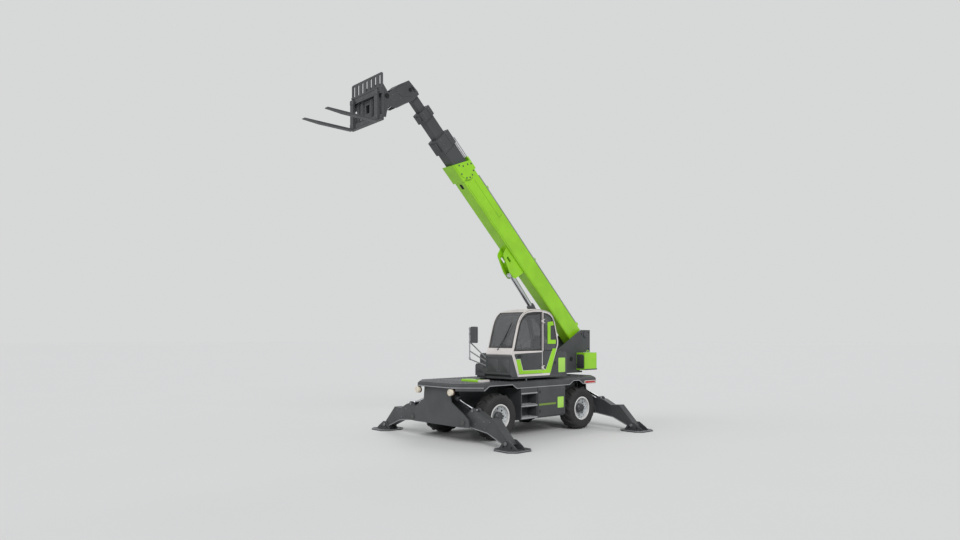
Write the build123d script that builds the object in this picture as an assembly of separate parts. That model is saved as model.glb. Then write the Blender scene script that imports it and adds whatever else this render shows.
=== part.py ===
from build123d import *
from math import asin, cos, degrees, hypot, radians, sin
import os

# Rotating telehandler on four stabilisers. Millimetres, +X forward, +Y to the operator's left, +Z up.
# The origin lies on the floor under the slewing axis. Boom pieces are drawn along their own axis
# (s along the boom, n across it, both from the boom's pivot) and then turned to the boom's angle.

# Clearances
seat_gap = 0.3          # faces that rest on each other
pin_clearance = 0.4     # radial, pin in bore
slide_clearance = 0.6   # wear pads against the next boom section
swing_gap = 6.0         # between pieces that pass each other

# Wheels and axles
wheelbase = 3140
track = 2010            # between tyre centres
tyre_radius = 575
tyre_width = 440
tread_width = 320
lug_count = 16          # on each side of the tread
lug_width = 78
lug_height = 24
lug_slant = 16          # degrees
bead_radius = 300
rim_width = 380
rim_flange_height = 17
rim_thickness = 12
hub_radius = 125
hub_reach = 175         # from wheel centre outwards
kingpin_offset = 175    # kingpin axis inboard of the wheel centre
kingpin_radius = 30
yoke_half_gap = 128     # half the opening of the axle's yoke
yoke_arm = 48
axle_half_height = 85
axle_half_width = 75
diff_radius = 205
shaft_radius = 38
shaft_z = 615

# Chassis
frame_half_width = 400
frame_plate = 30
frame_top = 1240
frame_bottom = 500
frame_arch = 790        # underside over the axles
frame_end = wheelbase / 2 + 675
pedestal_radius = 520
ring_radius = 610
ring_height = 110
deck_bottom = 1300
deck_top = 1420
deck_skin = 25
deck_half_width = 1220
deck_end = wheelbase / 2 + 1130
deck_nose_half_width = 650
deck_corner_x = wheelbase / 2 + 580
side_box_bottom = 440
side_box_rear = -830
side_box_front = 250
step_rear = 262
step_front = 868
lamp_radius = 78
lamp_y = 640
tail_lamp_rear = -2110
tail_lamp_front = -1640
lip_depth = 60           # the deck's lip below its underside
deck_bevel = 38          # bevel along the deck's upper edge
box_skin = 20            # sheet of the tank and cabinet bodies, open on a hidden side

# Stabilisers, drawn for the left front corner, across the machine (Y) and up (Z)
leg_x = wheelbase / 2 + 815     # middle plane of a leg
leg_width = 220
leg_pivot = (980, 500)
leg_pin_radius = 45
leg_boss_radius = 118
leg_slot = 104
ram_anchor = (60, 1225)
ram_eye = (1200, 800)
ram_radius = 52
ram_rod_radius = 30
ram_barrel_length = 540
ram_retract = 387        # travel of the rod towards the barrel's closed end
housing_plate = 30
housing_back = 20
housing_front_x = wheelbase / 2 + 1030
foot_centre = 2420
foot_width = 740
foot_plate = 30
ankle = (2350, 150)
ankle_radius = 38

# Turret
turret_bottom = 1490
turret_plate = 50
turret_top = turret_bottom + turret_plate
cheek_inner = 280       # cheek plates that carry the boom
cheek_plate = 40
boom_pivot = (-2800, 2600)
boom_pin_radius = 50
lift_anchor = (-2150, 1900)
lift_pin_radius = 40
hood = (-1950, 50, -1200, -345, 2080)      # rear, front, right, left, top
hood_skin = 30
cabinet_rear = -920
cabinet_top = 2150
weight_rear = -3040
weight_front = -2400
weight_half_width = 620
weight_slot_end = -2712
weight_bottom = 1570
weight_top = 2075

# Cab
cab_inner = 305         # right-hand wall
cab_outer = 1220        # left-hand wall
cab_wall = 50
cab_floor = turret_top + seat_gap
glass_inset = 14
screen_margin = 45      # windscreen's frame on either side
glass_thickness = 8
door_gap = 6
door_hinge = (60, 1238)
door_hinge_heights = (1750, 2950)
door_hinge_pin = 8
door_knuckle = 14
door_knuckle_length = 60

# Boom sections: height, width, wall, rear and front end along the boom, and how far the collar
# reaches beyond the front end on the upper side and on the underside
boom_angle = 44.0
boom_axis_n = -195      # centre line of the sections below the pivot
sections = {
    "boom_base": (540, 360, 10, -130, 6100, 200, 470),
    "boom_section_two": (460, 290, 10, 500, 6940, 325, 335),
    "boom_section_three": (340, 220, 8, 750, 7820, 200, 200),
    "boom_head": (240, 160, 8, 1000, 8450, 0, 0),
}
corner_radius = 34
collar_build = 35       # collar wall outside the tube
collar_overlap = 40     # of the collar onto the tube
lift_pin = (3160, -768)                    # on the boom, s and n
lift_radius = 100
lift_rod_radius = 68
lift_barrel_length = 2060
lift_retract = 710
head_pin = (8863, -927)                    # carriage pivot
head_pin_radius = 40
head_half_width = 145
head_plate = 22
tilt_anchor = (8582, -225)
tilt_eye = (8622, -1292)
tilt_radius = 55
tilt_rod_radius = 30
tilt_barrel_length = 620
tilt_retract = 230
coupler_tube = (180, -10)                  # cross tube from the tilt eye, in place

# Fork carriage, in place: X of its back and front, half width, heights
carriage_back = 4610
carriage_front = 4700
carriage_half_width = 620
carriage_bottom = 7330
carriage_top = 8040
guard_height = 370      # load guard above the carriage's top bar
guard_slots = 7
guard_slot_width = 62
coupler_plate = 25
tine_spacing = 980
tine_width = 120
tine_thickness = 45
tine_length = 1270


def save(name, shape):
    parts[name] = shape
    export_step(shape, f"parts/{name}.step")


def prism(points, plane, low, high):
    """Polygon in the named plane, extruded from low to high along that plane's normal axis."""
    frames = {
        "XY": Plane.XY,
        "XZ": Plane(origin=(0, 0, 0), x_dir=(1, 0, 0), z_dir=(0, -1, 0)),
        "YZ": Plane.YZ,
    }
    face = make_face(Polyline(*points, close=True))
    if plane == "XZ":
        solid = extrude(frames[plane] * Pos(0, 0, -high) * face, high - low)
    else:
        solid = extrude(frames[plane] * Pos(0, 0, low) * face, high - low)
    return solid


def block(x, y, z):
    """Box from three (low, high) pairs."""
    size = [b - a for a, b in (x, y, z)]
    middle = [(a + b) / 2 for a, b in (x, y, z)]
    return Pos(*middle) * Box(*size)


def rod(start, end, radius, bore=0):
    """Round bar between two points, with a bore if one is given."""
    axis = Vector(*end) - Vector(*start)
    plane = Plane(origin=start, z_dir=axis)
    bar = extrude(plane * Circle(radius), axis.length)
    if bore:
        bar -= extrude(plane * Pos(0, 0, -1) * Circle(bore), axis.length + 2)
    return bar


def both_ends(shape):
    return [shape, mirror(shape, about=Plane.YZ)]


def solids_of(shapes):
    return Compound(children=[solid for shape in shapes for solid in shape.solids()])


def to_boom(shape):
    """Turn a piece drawn along the boom to the boom's angle at its pivot."""
    return Pos(boom_pivot[0], 0, boom_pivot[1]) * Rot(0, -boom_angle, 0) * shape


def boom_point(s, n):
    angle = radians(boom_angle)
    return (
        boom_pivot[0] + s * cos(angle) - n * sin(angle),
        boom_pivot[1] + s * sin(angle) + n * cos(angle),
    )


parts = {}
os.makedirs("parts", exist_ok=True)
wheel_x = wheelbase / 2
wheel_y = track / 2
corners = [
    ("front_left", 1, 1),
    ("front_right", 1, -1),
    ("rear_left", -1, 1),
    ("rear_right", -1, -1),
]


def at_corner(shape, end, side):
    """Copy a piece drawn for the front left corner to another corner."""
    if side < 0:
        shape = mirror(shape, about=Plane.XZ)
    if end < 0:
        shape = mirror(shape, about=Plane.YZ)
    return shape


def wheel_turn(points):
    """Revolve (radius, outward offset) points about the front left wheel's axis."""
    centre = (wheel_x, wheel_y, tyre_radius)
    outline = [(wheel_x, wheel_y + offset, tyre_radius + radius) for radius, offset in points]
    face = make_face(Polyline(*outline, close=True))
    return revolve(face, Axis(centre, (0, 1, 0)), 360)


def turned_panels(points, count):
    """Solid of flat panels: (radius, outward offset) points carried in steps round the wheel's axis."""
    def corner(step, k):
        angle = radians(360 * step / count)
        radius, offset = points[k % len(points)]
        return (wheel_x + radius * cos(angle), wheel_y + offset, tyre_radius + radius * sin(angle))

    faces = []
    for step in range(count):
        for k in range(len(points)):
            panel = [corner(step, k), corner(step, k + 1), corner(step + 1, k + 1), corner(step + 1, k)]
            faces.append(Face(Wire.make_polygon(panel, close=True)))
    return Solid(Shell(faces))


def tyre():
    """Carcass of flat panels with slanted lugs; the outermost corners of the lugs lie on tyre_radius."""
    half = tyre_width / 2
    tread = tread_width / 2
    bead = rim_width / 2 - rim_thickness - seat_gap
    panels = 2 * lug_count
    clear = 1 / cos(radians(180 / panels))       # keeps the middle of an inner panel off the rim
    bore = bead_radius * clear
    flange = (bead_radius + rim_flange_height + 1) * clear
    floor = tyre_radius - lug_height
    side = [(bore, bead), (flange, bead), (flange + 30, half - 12), (430, half), (515, half - 12)]
    side += [(floor, tread - 6)]
    shape = turned_panels(side + [(radius, -offset) for radius, offset in reversed(side)], panels)
    sideways = lug_width / 2 * cos(radians(lug_slant)) + (tread / 2 - 8) * sin(radians(lug_slant))
    top = (tyre_radius ** 2 - sideways ** 2) ** 0.5
    phase = degrees(asin(sideways / tyre_radius))       # sets one outermost corner on the floor
    section = [
        (8, floor - 14), (8, top), (tread - 28, top), (tread, top - 14), (half - 15, 516),
        (half - 4, 478), (half - 26, 470),
    ]
    lug = prism([(y, z) for y, z in section], "YZ", -lug_width / 2, lug_width / 2)
    lug = Pos(0, tread / 2, 0) * Rot(0, 0, lug_slant) * Pos(0, -tread / 2, 0) * lug
    lugs = []
    for k in range(lug_count):
        for hand, turn in ((1, 0), (-1, 0.5)):
            one = lug if hand > 0 else mirror(lug, about=Plane.XZ)
            place = Pos(wheel_x, wheel_y, tyre_radius) * Rot(0, 360 * (k + turn) / lug_count - phase, 0)
            lugs.append(place * one)
    return shape + lugs


def rim():
    half = rim_width / 2
    seat = bead_radius - seat_gap
    inside = seat - rim_thickness
    flange = bead_radius + rim_flange_height
    dish = 40
    barrel = wheel_turn([
        (inside, -half), (flange, -half), (flange, -half + rim_thickness),
        (seat, -half + rim_thickness), (seat, half - rim_thickness),
        (flange, half - rim_thickness), (flange, half), (inside, half),
    ])
    disc = wheel_turn([
        (60, dish), (hub_radius, dish), (inside + 1, dish + 60), (inside + 1, dish + 78),
        (hub_radius, dish + 24), (hub_radius, hub_reach - 30), (hub_radius - 30, hub_reach),
        (0.01, hub_reach), (0.01, dish + 60), (60, dish + 60),
    ])
    hub = wheel_turn([(62, -60), (hub_radius, -60), (hub_radius, dish + 1), (62, dish + 1)])
    shape = barrel + disc + hub
    holes = [
        Pos(wheel_x + 200 * cos(radians(a)), wheel_y + 90, tyre_radius + 200 * sin(radians(a)))
        * Rot(90, 0, 0) * Cylinder(26, 160)
        for a in range(0, 360, 45)
    ]
    return shape - holes


def knuckle():
    """Steering knuckle between the yoke's arms, with the spindle that the hub turns on."""
    kingpin_y = wheel_y - kingpin_offset
    body = rod(
        (wheel_x, kingpin_y, tyre_radius - yoke_half_gap + seat_gap + 1),
        (wheel_x, kingpin_y, tyre_radius + yoke_half_gap - seat_gap - 1), 62,
        kingpin_radius + pin_clearance,
    )
    flange = rod((wheel_x, kingpin_y + 35, tyre_radius), (wheel_x, wheel_y - 62, tyre_radius), 110)
    flange -= rod(
        (wheel_x, kingpin_y, tyre_radius - 200), (wheel_x, kingpin_y, tyre_radius + 200),
        kingpin_radius + pin_clearance,
    )
    spindle = rod(
        (wheel_x, kingpin_y + 60, tyre_radius), (wheel_x, wheel_y + 80, tyre_radius),
        60 - pin_clearance,
    )
    arm = prism(
        [(wheel_x - 50, kingpin_y - 25), (wheel_x - 190, kingpin_y + 15),
         (wheel_x - 190, kingpin_y + 65), (wheel_x - 50, kingpin_y + 50)],
        "XY", tyre_radius - 30, tyre_radius,
    )
    arm -= rod(
        (wheel_x, kingpin_y, tyre_radius - 200), (wheel_x, kingpin_y, tyre_radius + 200), 50,
    )
    return body + flange + spindle + arm


def axle_housing():
    kingpin_y = wheel_y - kingpin_offset
    beam_end = kingpin_y - 90
    beam = block(
        (wheel_x - axle_half_width, wheel_x + axle_half_width), (-beam_end, beam_end),
        (tyre_radius - axle_half_height, tyre_radius + axle_half_height),
    )
    bowl_profile = [
        (wheel_x - 130, 0), (wheel_x + 130, 0), (wheel_x + 130, diff_radius - 60),
        (wheel_x + 112, diff_radius - 18), (wheel_x + 70, diff_radius), (wheel_x - 70, diff_radius),
        (wheel_x - 112, diff_radius - 18), (wheel_x - 130, diff_radius - 60),
    ]
    bowl_face = make_face(Polyline(*bowl_profile, close=True))
    bowl = Pos(0, 0, tyre_radius) * revolve(bowl_face, Axis((0, 0, 0), (1, 0, 0)), 360)
    yoke_top = tyre_radius + yoke_half_gap + yoke_arm
    yoke_low = tyre_radius - yoke_half_gap - yoke_arm
    shape = beam + bowl
    for side in (1, -1):
        back = block(
            (wheel_x - 70, wheel_x + 70), sorted((side * (beam_end - 30), side * (beam_end + 20))),
            (yoke_low, yoke_top),
        )
        shape += back
        for low, high in (
            (yoke_low, tyre_radius - yoke_half_gap), (tyre_radius + yoke_half_gap, yoke_top),
        ):
            shape += block(
                (wheel_x - 60, wheel_x + 60), sorted((side * beam_end, side * kingpin_y)), (low, high)
            )
            shape += rod((wheel_x, side * kingpin_y, low), (wheel_x, side * kingpin_y, high), 60)
        shape += rod(
            (wheel_x, side * kingpin_y, yoke_low), (wheel_x, side * kingpin_y, yoke_top),
            kingpin_radius,
        )
    for y in (-320, 320):
        shape += block(
            (wheel_x - 130, wheel_x + 130), (y - 50, y + 50),
            (tyre_radius, frame_arch - seat_gap),
        )
    return shape


def chassis_frame():
    half_profile = [
        (0, frame_bottom), (wheel_x - 490, frame_bottom), (wheel_x - 320, frame_arch),
        (wheel_x + 310, frame_arch), (wheel_x + 390, 620), (frame_end, 560), (frame_end, frame_top),
        (0, frame_top),
    ]
    outline = half_profile + [(-x, z) for x, z in reversed(half_profile[1:-1])]
    inner = frame_half_width - frame_plate
    solid = prism(outline, "XZ", -frame_half_width, frame_half_width)
    core = prism(
        [(-frame_end + 30, 0), (frame_end - 30, 0), (frame_end - 30, frame_top - frame_plate),
         (-frame_end + 30, frame_top - frame_plate)], "XZ", -inner, inner,
    )
    frame = solid - core
    belly = block((-900, 900), (-inner - 1, inner + 1), (frame_bottom, frame_bottom + 20))
    frame += belly
    for x in (-wheel_x - 330, -wheel_x + 340, wheel_x - 340, wheel_x + 330):
        frame += block((x - 12, x + 12), (-inner - 1, inner + 1), (frame_arch + 20, frame_top - 5))
    for x in (-1000, 1000):
        frame += block((x - 12, x + 12), (-inner - 1, inner + 1), (frame_bottom, frame_top - 5))
        frame -= rod((x - 20, 0, shaft_z), (x + 20, 0, shaft_z), shaft_radius + 22)
    frame += Pos(0, 0, (frame_top + turret_bottom - ring_height) / 2) * Cylinder(
        pedestal_radius, turret_bottom - ring_height - frame_top
    )
    return frame


def slew_ring():
    low = turret_bottom - ring_height + seat_gap
    ring = Pos(0, 0, low) * Cylinder(
        ring_radius, ring_height - 2 * seat_gap, align=(Align.CENTER, Align.CENTER, Align.MIN)
    )
    groove = Pos(0, 0, low + 45) * Cylinder(
        ring_radius + 1, 12, align=(Align.CENTER, Align.CENTER, Align.MIN)
    ) - Pos(0, 0, low + 45) * Cylinder(
        ring_radius - 12, 12, align=(Align.CENTER, Align.CENTER, Align.MIN)
    )
    bore = Pos(0, 0, low - 1) * Cylinder(
        pedestal_radius - 90, ring_height + 2, align=(Align.CENTER, Align.CENTER, Align.MIN)
    )
    return ring - groove - bore


def deck():
    """Mudguards and deck: one folded skin with a lip that arches over the wheels."""
    half = [
        (deck_end, 0), (deck_end, deck_nose_half_width), (deck_corner_x, deck_half_width),
        (0, deck_half_width),
    ]
    plan = half + [(-x, y) for x, y in reversed(half[:-1])]
    plan += [(x, -y) for x, y in reversed(plan[1:-1])]
    face = make_face(Polyline(*[(x, y) for x, y in plan], close=True))
    lip = deck_bottom - lip_depth
    outer = extrude(Pos(0, 0, lip) * face, deck_top - lip)
    outer = chamfer(outer.edges().group_by(Axis.Z)[-1], deck_bevel)
    inner_face = offset(face, -deck_skin)
    inner = extrude(Pos(0, 0, lip - 1) * inner_face, deck_top - lip + 1 - deck_skin)
    shape = outer - inner
    for x, end, reach in ((wheel_x, 1, 560), (-wheel_x, -1, 30)):
        arch = prism(
            [(x - end * 560, lip - 10), (x - end * 400, deck_bottom + 40),
             (x + end * (reach - 180), deck_bottom + 40), (x + end * reach, lip - 10)],
            "XZ", -deck_half_width - 10, deck_half_width + 10,
        )
        shape -= arch
    reach = deck_end + 1
    shape -= block((-reach, reach), (-lamp_y + 90, lamp_y - 90), (lip - 1, deck_bottom))
    for side in (1, -1):
        y = sorted((side * (lamp_y - 91), side * (lamp_y + 90)))
        shape -= block((deck_end - 200, reach), y, (lip - 1, deck_bottom))
    shape -= Pos(0, 0, deck_top - 30) * Cylinder(ring_radius + swing_gap, 200)
    ribs = [
        block((x - 10, x + 10), (-deck_half_width + 100, deck_half_width - 100),
              (deck_bottom + 45, deck_top - 5))
        for x in (-1900, -900, 900, 1900)
    ]
    webs = [
        block((x - 12, x + 12), (y - 130, y + 130), (frame_top + seat_gap, deck_top - 5))
        for x in (-1900, -900, 900, 1900) for y in (-255, 255)
    ]
    return shape + ribs + webs


def housing():
    """Front stabiliser housing: the shaped face plate, the back plate and the box between them."""
    half = [(0, 1290), (500, 1290), (530, 970), (1000, 700), (1160, 580), (1200, 400), (850, 385),
            (0, 385)]
    outline = half + [(-y, z) for y, z in reversed(half[1:-1])]
    back = [(0, 1290), (440, 1290), (500, 970), (1000, 690), (1120, 560), (1120, 385), (0, 385)]
    back_outline = back + [(-y, z) for y, z in reversed(back[1:-1])]
    back_x = frame_end + seat_gap
    shape = prism(outline, "YZ", housing_front_x - housing_plate, housing_front_x)
    shape += prism(back_outline, "YZ", back_x, back_x + housing_back)
    shape += block((back_x, housing_front_x - 1), (-300, 300), (385, 415))
    shape += block((back_x, housing_front_x - 1), (-420, 420), (1285, deck_bottom - seat_gap))
    for side in (1, -1):
        y, z = side * leg_pivot[0], leg_pivot[1]
        shape += rod((back_x, y, z), (housing_front_x + 12, y, z), leg_pin_radius)
        shape += rod((housing_front_x - 1, y, z), (housing_front_x + 18, y, z), leg_pin_radius + 25)
        y, z = side * ram_anchor[0], ram_anchor[1]
        shape += rod((back_x, y, z), (housing_front_x - 1, y, z), 22)
    return shape


def leg():
    """Bent arm from the housing's pin to the ankle; its side walls stand up as the ram's lugs."""
    y, z = leg_pivot
    outline = [
        (900, 410), (1710, 312), (2262, 92), (2400, 78), (2452, 138), (1925, 668), (1655, 650),
        (1375, 785), (1290, 800), (1245, 855), (1165, 855), (1110, 790), (900, 610),
    ]
    low, high = leg_x - leg_width / 2, leg_x + leg_width / 2
    shape = prism(outline, "YZ", low, high)
    shape += rod((low, y, z), (housing_front_x - housing_plate - swing_gap, y, z), leg_boss_radius)
    shape -= block(
        (leg_x - leg_slot / 2, leg_x + leg_slot / 2), (1050, 1360), (640, 900)
    )
    shape -= rod((low - 1, y, z), (housing_front_x, y, z), leg_pin_radius + pin_clearance)
    shape -= rod((low - 1, *ankle), (high + 1, *ankle), ankle_radius + pin_clearance)
    shape += rod((low - 3, *ram_eye), (low, *ram_eye), 42)
    shape += rod((high, *ram_eye), (high + 8, *ram_eye), 42)
    return shape


def foot():
    """Octagonal plate, two gussets beside the leg and the ankle pin through them."""
    half = foot_width / 2
    cut = foot_width * 0.2
    plan = [
        (leg_x - half, foot_centre - half + cut), (leg_x - half + cut, foot_centre - half),
        (leg_x + half - cut, foot_centre - half), (leg_x + half, foot_centre - half + cut),
        (leg_x + half, foot_centre + half - cut), (leg_x + half - cut, foot_centre + half),
        (leg_x - half + cut, foot_centre + half), (leg_x - half, foot_centre + half - cut),
    ]
    shape = prism(plan, "XY", 0, foot_plate)
    gusset = [
        (foot_centre - 300, foot_plate - 1), (foot_centre + 300, foot_plate - 1),
        (foot_centre + 190, 120), (ankle[0] + 75, 235), (ankle[0] - 75, 235), (foot_centre - 250, 90),
    ]
    inner = leg_width / 2 + swing_gap
    for side in (1, -1):
        x = sorted((leg_x + side * inner, leg_x + side * (inner + 22)))
        shape += prism(gusset, "YZ", *x)
    reach = inner + 40
    shape += rod((leg_x - reach, *ankle), (leg_x + reach, *ankle), ankle_radius)
    return shape


def ram(anchor, eye, radius, rod_radius, barrel_length, retract, across, low, high, pin):
    """A cylinder between two (a, b) points: barrel with its bored eye, and rod with its eye.

    across makes a 3-D point of (a, b) and a third value; low and high bound the eyes' width. The rod
    ends inside the barrel, far enough from its closed end to retract."""
    length = hypot(eye[0] - anchor[0], eye[1] - anchor[1])
    ua, ub = (eye[0] - anchor[0]) / length, (eye[1] - anchor[1]) / length
    middle = (low + high) / 2

    def at(distance):
        return across(anchor[0] + ua * distance, anchor[1] + ub * distance, middle)

    closed = radius * 0.8 + 60
    barrel = rod(at(radius * 0.8), at(barrel_length), radius)
    barrel += rod(at(barrel_length - 90), at(barrel_length), radius + 9)
    barrel -= rod(at(closed), at(barrel_length + 1), rod_radius + pin_clearance)
    barrel += rod(across(*anchor, low), across(*anchor, high), radius * 0.9)
    barrel -= rod(across(*anchor, low - 1), across(*anchor, high + 1), pin + pin_clearance)
    bar = rod(at(closed + retract + 3), at(length - rod_radius), rod_radius)
    bar += rod(across(*eye, low), across(*eye, high), max(rod_radius * 1.2, rod_radius + 15))
    return barrel, bar


def cab_profile(inset):
    points = [
        (990, cab_floor), (1216, 2110), (1196, 2180), (1150, 2265), (1075, 2555), (990, 2835),
        (937, 2960), (865, 3068), (765, 3152), (640, 3207), (410, 3248), (180, 3256), (-77, 3220),
        (-220, 3176), (-330, 3092), (-405, 2950), (-545, 2440), (-545, 2340), (-505, 2244),
        (-210, cab_floor),
    ]
    face = Face(Wire(Polyline(*points, close=True).edges()))
    if inset:
        face = offset(face, -inset, kind=Kind.INTERSECTION)
    return face


def cab_prism(inset, low, high):
    plane = Plane(origin=(0, high, 0), x_dir=(1, 0, 0), z_dir=(0, -1, 0))
    return extrude(plane * cab_profile(inset), high - low)


door_outline = [
    (75, 1600), (962, 1600), (1163, 2112), (1100, 2270), (1030, 2540), (945, 2820), (893, 2940),
    (825, 3035), (740, 3103), (640, 3150), (400, 3180), (75, 3188),
]
door_window = [
    (105, 2188), (1098, 2188), (1070, 2270), (1000, 2530), (915, 2808), (865, 2922), (802, 3010),
    (722, 3074), (630, 3117), (395, 3147), (105, 3155),
]
quarter_window = [
    (20, 2188), (20, 3155), (-110, 3138), (-215, 3098), (-300, 3030), (-365, 2915), (-430, 2670),
    (-488, 2430), (-488, 2345), (-455, 2260), (-430, 2188),
]
right_window = [
    (-430, 2220), (1085, 2220), (1005, 2520), (920, 2800), (850, 2930), (740, 3040), (620, 3095),
    (180, 3130), (-90, 3115), (-290, 3010), (-360, 2880), (-470, 2430), (-470, 2330),
]
windscreen_cut = [
    (1060, 2275), (1300, 2275), (1300, 3300), (735, 3300), (735, 3080), (850, 2960), (960, 2700),
]
rear_cut = [(-700, 2380), (-380, 2380), (-250, 3050), (-700, 3050)]


def grow(points, amount):
    face = make_face(Polyline(*points, close=True))
    return offset(face, amount, kind=Kind.INTERSECTION)


def side_cut(points, amount, low, high):
    plane = Plane(origin=(0, high, 0), x_dir=(1, 0, 0), z_dir=(0, -1, 0))
    face = grow(points, amount) if amount else make_face(Polyline(*points, close=True))
    return extrude(plane * face, high - low)


def cab_frame():
    shell = cab_prism(0, cab_inner, cab_outer)
    shell -= cab_prism(cab_wall, cab_inner + cab_wall, cab_outer - cab_wall)
    shell -= side_cut(door_outline, door_gap, cab_outer - cab_wall - 5, cab_outer + 5)
    shell -= side_cut(quarter_window, 0, cab_outer - cab_wall - 5, cab_outer + 5)
    shell -= side_cut(right_window, 0, cab_inner - 5, cab_inner + cab_wall + 5)
    shell -= side_cut(windscreen_cut, 0, cab_inner + screen_margin, cab_outer - screen_margin)
    shell -= side_cut(rear_cut, 0, cab_inner + 90, cab_outer - 90)
    return shell + hinge_pins()


def hinge_pins():
    """Pins and lugs on the cab's pillar, above and below each of the door's knuckles."""
    x, y = door_hinge
    half = door_knuckle_length / 2
    shape = []
    for z in door_hinge_heights:
        shape.append(rod((x, y, z - half - 20), (x, y, z + half + 20), door_hinge_pin))
        for low in (z - half - 20, z + half + 2):
            shape.append(rod((x, y, low), (x, y, low + 18), door_knuckle))
            shape.append(block((x - 45, x), (cab_outer - 2, y + door_knuckle), (low, low + 18)))
    return shape


def cab_glass():
    band = cab_prism(glass_inset, cab_inner, cab_outer)
    band -= cab_prism(glass_inset + glass_thickness, cab_inner - 1, cab_outer + 1)
    margin = screen_margin + seat_gap
    windscreen = band & side_cut(windscreen_cut, -seat_gap, cab_inner + margin, cab_outer - margin)
    rear = band & side_cut(rear_cut, -seat_gap, cab_inner + 90.3, cab_outer - 90.3)
    quarter = side_cut(
        quarter_window, -seat_gap, cab_outer - glass_inset - glass_thickness, cab_outer - glass_inset
    )
    right = side_cut(
        right_window, -seat_gap, cab_inner + glass_inset, cab_inner + glass_inset + glass_thickness
    )
    return solids_of([windscreen, rear, quarter, right])


def cab_door():
    shape = side_cut(door_outline, 0, cab_outer - cab_wall, cab_outer)
    shape -= side_cut(door_window, 0, cab_outer - cab_wall - 1, cab_outer + 1)
    x, y = door_hinge
    half = door_knuckle_length / 2
    for z in door_hinge_heights:
        shape += block((x, x + 60), (cab_outer + 2, y + door_knuckle), (z - half, z + half))
        shape += block((x + 20, x + 60), (cab_outer - 2, cab_outer + 3), (z - half, z + half))
        shape += rod((x, y, z - half), (x, y, z + half), door_knuckle)
        shape -= rod((x, y, z - half - 1), (x, y, z + half + 1), door_hinge_pin + pin_clearance)
    return shape


def door_glass():
    return side_cut(
        door_window, -seat_gap, cab_outer - glass_inset - glass_thickness, cab_outer - glass_inset
    )


def seat():
    middle = (cab_inner + cab_outer) / 2
    floor = cab_floor + cab_wall + seat_gap
    profile = [
        (-120, floor), (230, floor), (230, 1900), (290, 1960), (290, 2040), (-140, 2010),
        (-230, 2560), (-320, 2560), (-270, 1950), (-120, 1890),
    ]
    return prism(profile, "XZ", middle - 240, middle + 240)


def console():
    middle = (cab_inner + cab_outer) / 2
    floor = cab_floor + cab_wall + seat_gap
    profile = [(740, floor), (940, floor), (980, 2000), (760, 2140), (700, 2100), (800, 1950)]
    shape = prism(profile, "XZ", middle - 90, middle + 90)
    ring = revolve(Plane.XZ * Pos(185, 0) * RegularPolygon(16, 8), Axis.Z, 360)
    wheel = Pos(680, middle, 2200) * Rot(0, -35, 0) * ring
    hub = Pos(680, middle, 2200) * Rot(0, -35, 0) * Cylinder(45, 40)
    spokes = Pos(680, middle, 2200) * Rot(0, -35, 0) * Box(30, 360, 12)
    column = rod((790, middle, 2040), (680, middle, 2195), 28)
    return shape + wheel + hub + spokes + column


def turret_frame():
    plan = [
        (1200, -60), (1200, 1200), (cabinet_rear, 1200), (cabinet_rear, 330), (-2650, 330),
        (-2650, -330), (-1950, -330), (-1950, -1200), (50, -1200), (600, -600), (1100, -60),
    ]
    top = turret_top
    shape = prism(plan, "XY", turret_bottom, top)
    cheek = [
        (-3020, weight_top + 8), (-2700, weight_top + 8), (-2700, 1600), (-2500, top - 1), (-640, top - 1),
        (-640, 1760), (-1600, 2170), (-2600, 2735), (-3020, 2735),
    ]
    for low, high in ((cheek_inner, cheek_inner + cheek_plate), (-cheek_inner - cheek_plate, -cheek_inner)):
        plate = prism(cheek, "XZ", low, high)
        shape += plate
    x, z = boom_pivot
    outer = cheek_inner + cheek_plate + 14
    shape += rod((x, -outer, z), (x, outer, z), boom_pin_radius)
    for side in (1, -1):
        face = side * (cheek_inner + cheek_plate)
        shape += rod((x, face, z), (x, face + side * 14, z), boom_pin_radius + 45)
    x, z = lift_anchor
    outer = cheek_inner + cheek_plate + 8
    shape += rod((x, -outer, z), (x, outer, z), lift_pin_radius)
    shape += block((-700, -660), (-cheek_inner - 1, cheek_inner + 1), (top - 1, 1640))
    shape += block((-2690, -2650), (-cheek_inner - 1, cheek_inner + 1), (top + 60, 1750))
    return shape


def engine_hood():
    rear, front, right, left, top = hood
    low = turret_top + seat_gap
    shell = block((rear, front), (right, left), (low, top))
    shell = fillet(shell.edges().filter_by(Axis.X).group_by(Axis.Z)[-1], 90)
    inner = block(
        (rear + hood_skin, front - hood_skin), (right + hood_skin, left - hood_skin),
        (low - 1, top - hood_skin),
    )
    shell -= inner
    slats = []
    for i in range(9):
        z = low + 90 + i * 36
        for side, x_low, x_high in ((right, rear + 160, rear + 900), (right, rear + 1050, front - 150)):
            slats.append(prism([(side + 1, z), (side - 12, z - 4), (side + 1, z + 20)], "YZ", x_low, x_high))
        slats.append(prism([(rear + 1, z), (rear - 12, z - 4), (rear + 1, z + 20)], "XZ", right + 120, left - 130))
    pipe = rod((rear + 300, right + 180, top - 5), (rear + 300, right + 180, top + 130), 45, 38)
    return shell + slats + pipe


def engine():
    rear, front, right, left, top = hood
    low = turret_top + seat_gap
    return block((rear + 250, front - 350), (right + 120, left - 120), (low, low + 420))


def cabinet():
    low = turret_top + seat_gap
    profile = [
        (cabinet_rear, low), (-230, low), (-530, cabinet_top), (cabinet_rear + 60, cabinet_top),
        (cabinet_rear, cabinet_top - 60),
    ]
    inside = offset(make_face(Polyline(*profile, close=True)), -box_skin, kind=Kind.INTERSECTION)
    inside = extrude(Plane.XZ * inside, -(1200 - box_skin)) - extrude(Plane.XZ * inside, -365)
    foot_opening = block((cabinet_rear + box_skin, -230 - 2 * box_skin), (365, 1180), (low - 1, low + 30))
    return prism(profile, "XZ", 345, 1200) - inside - foot_opening


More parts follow.
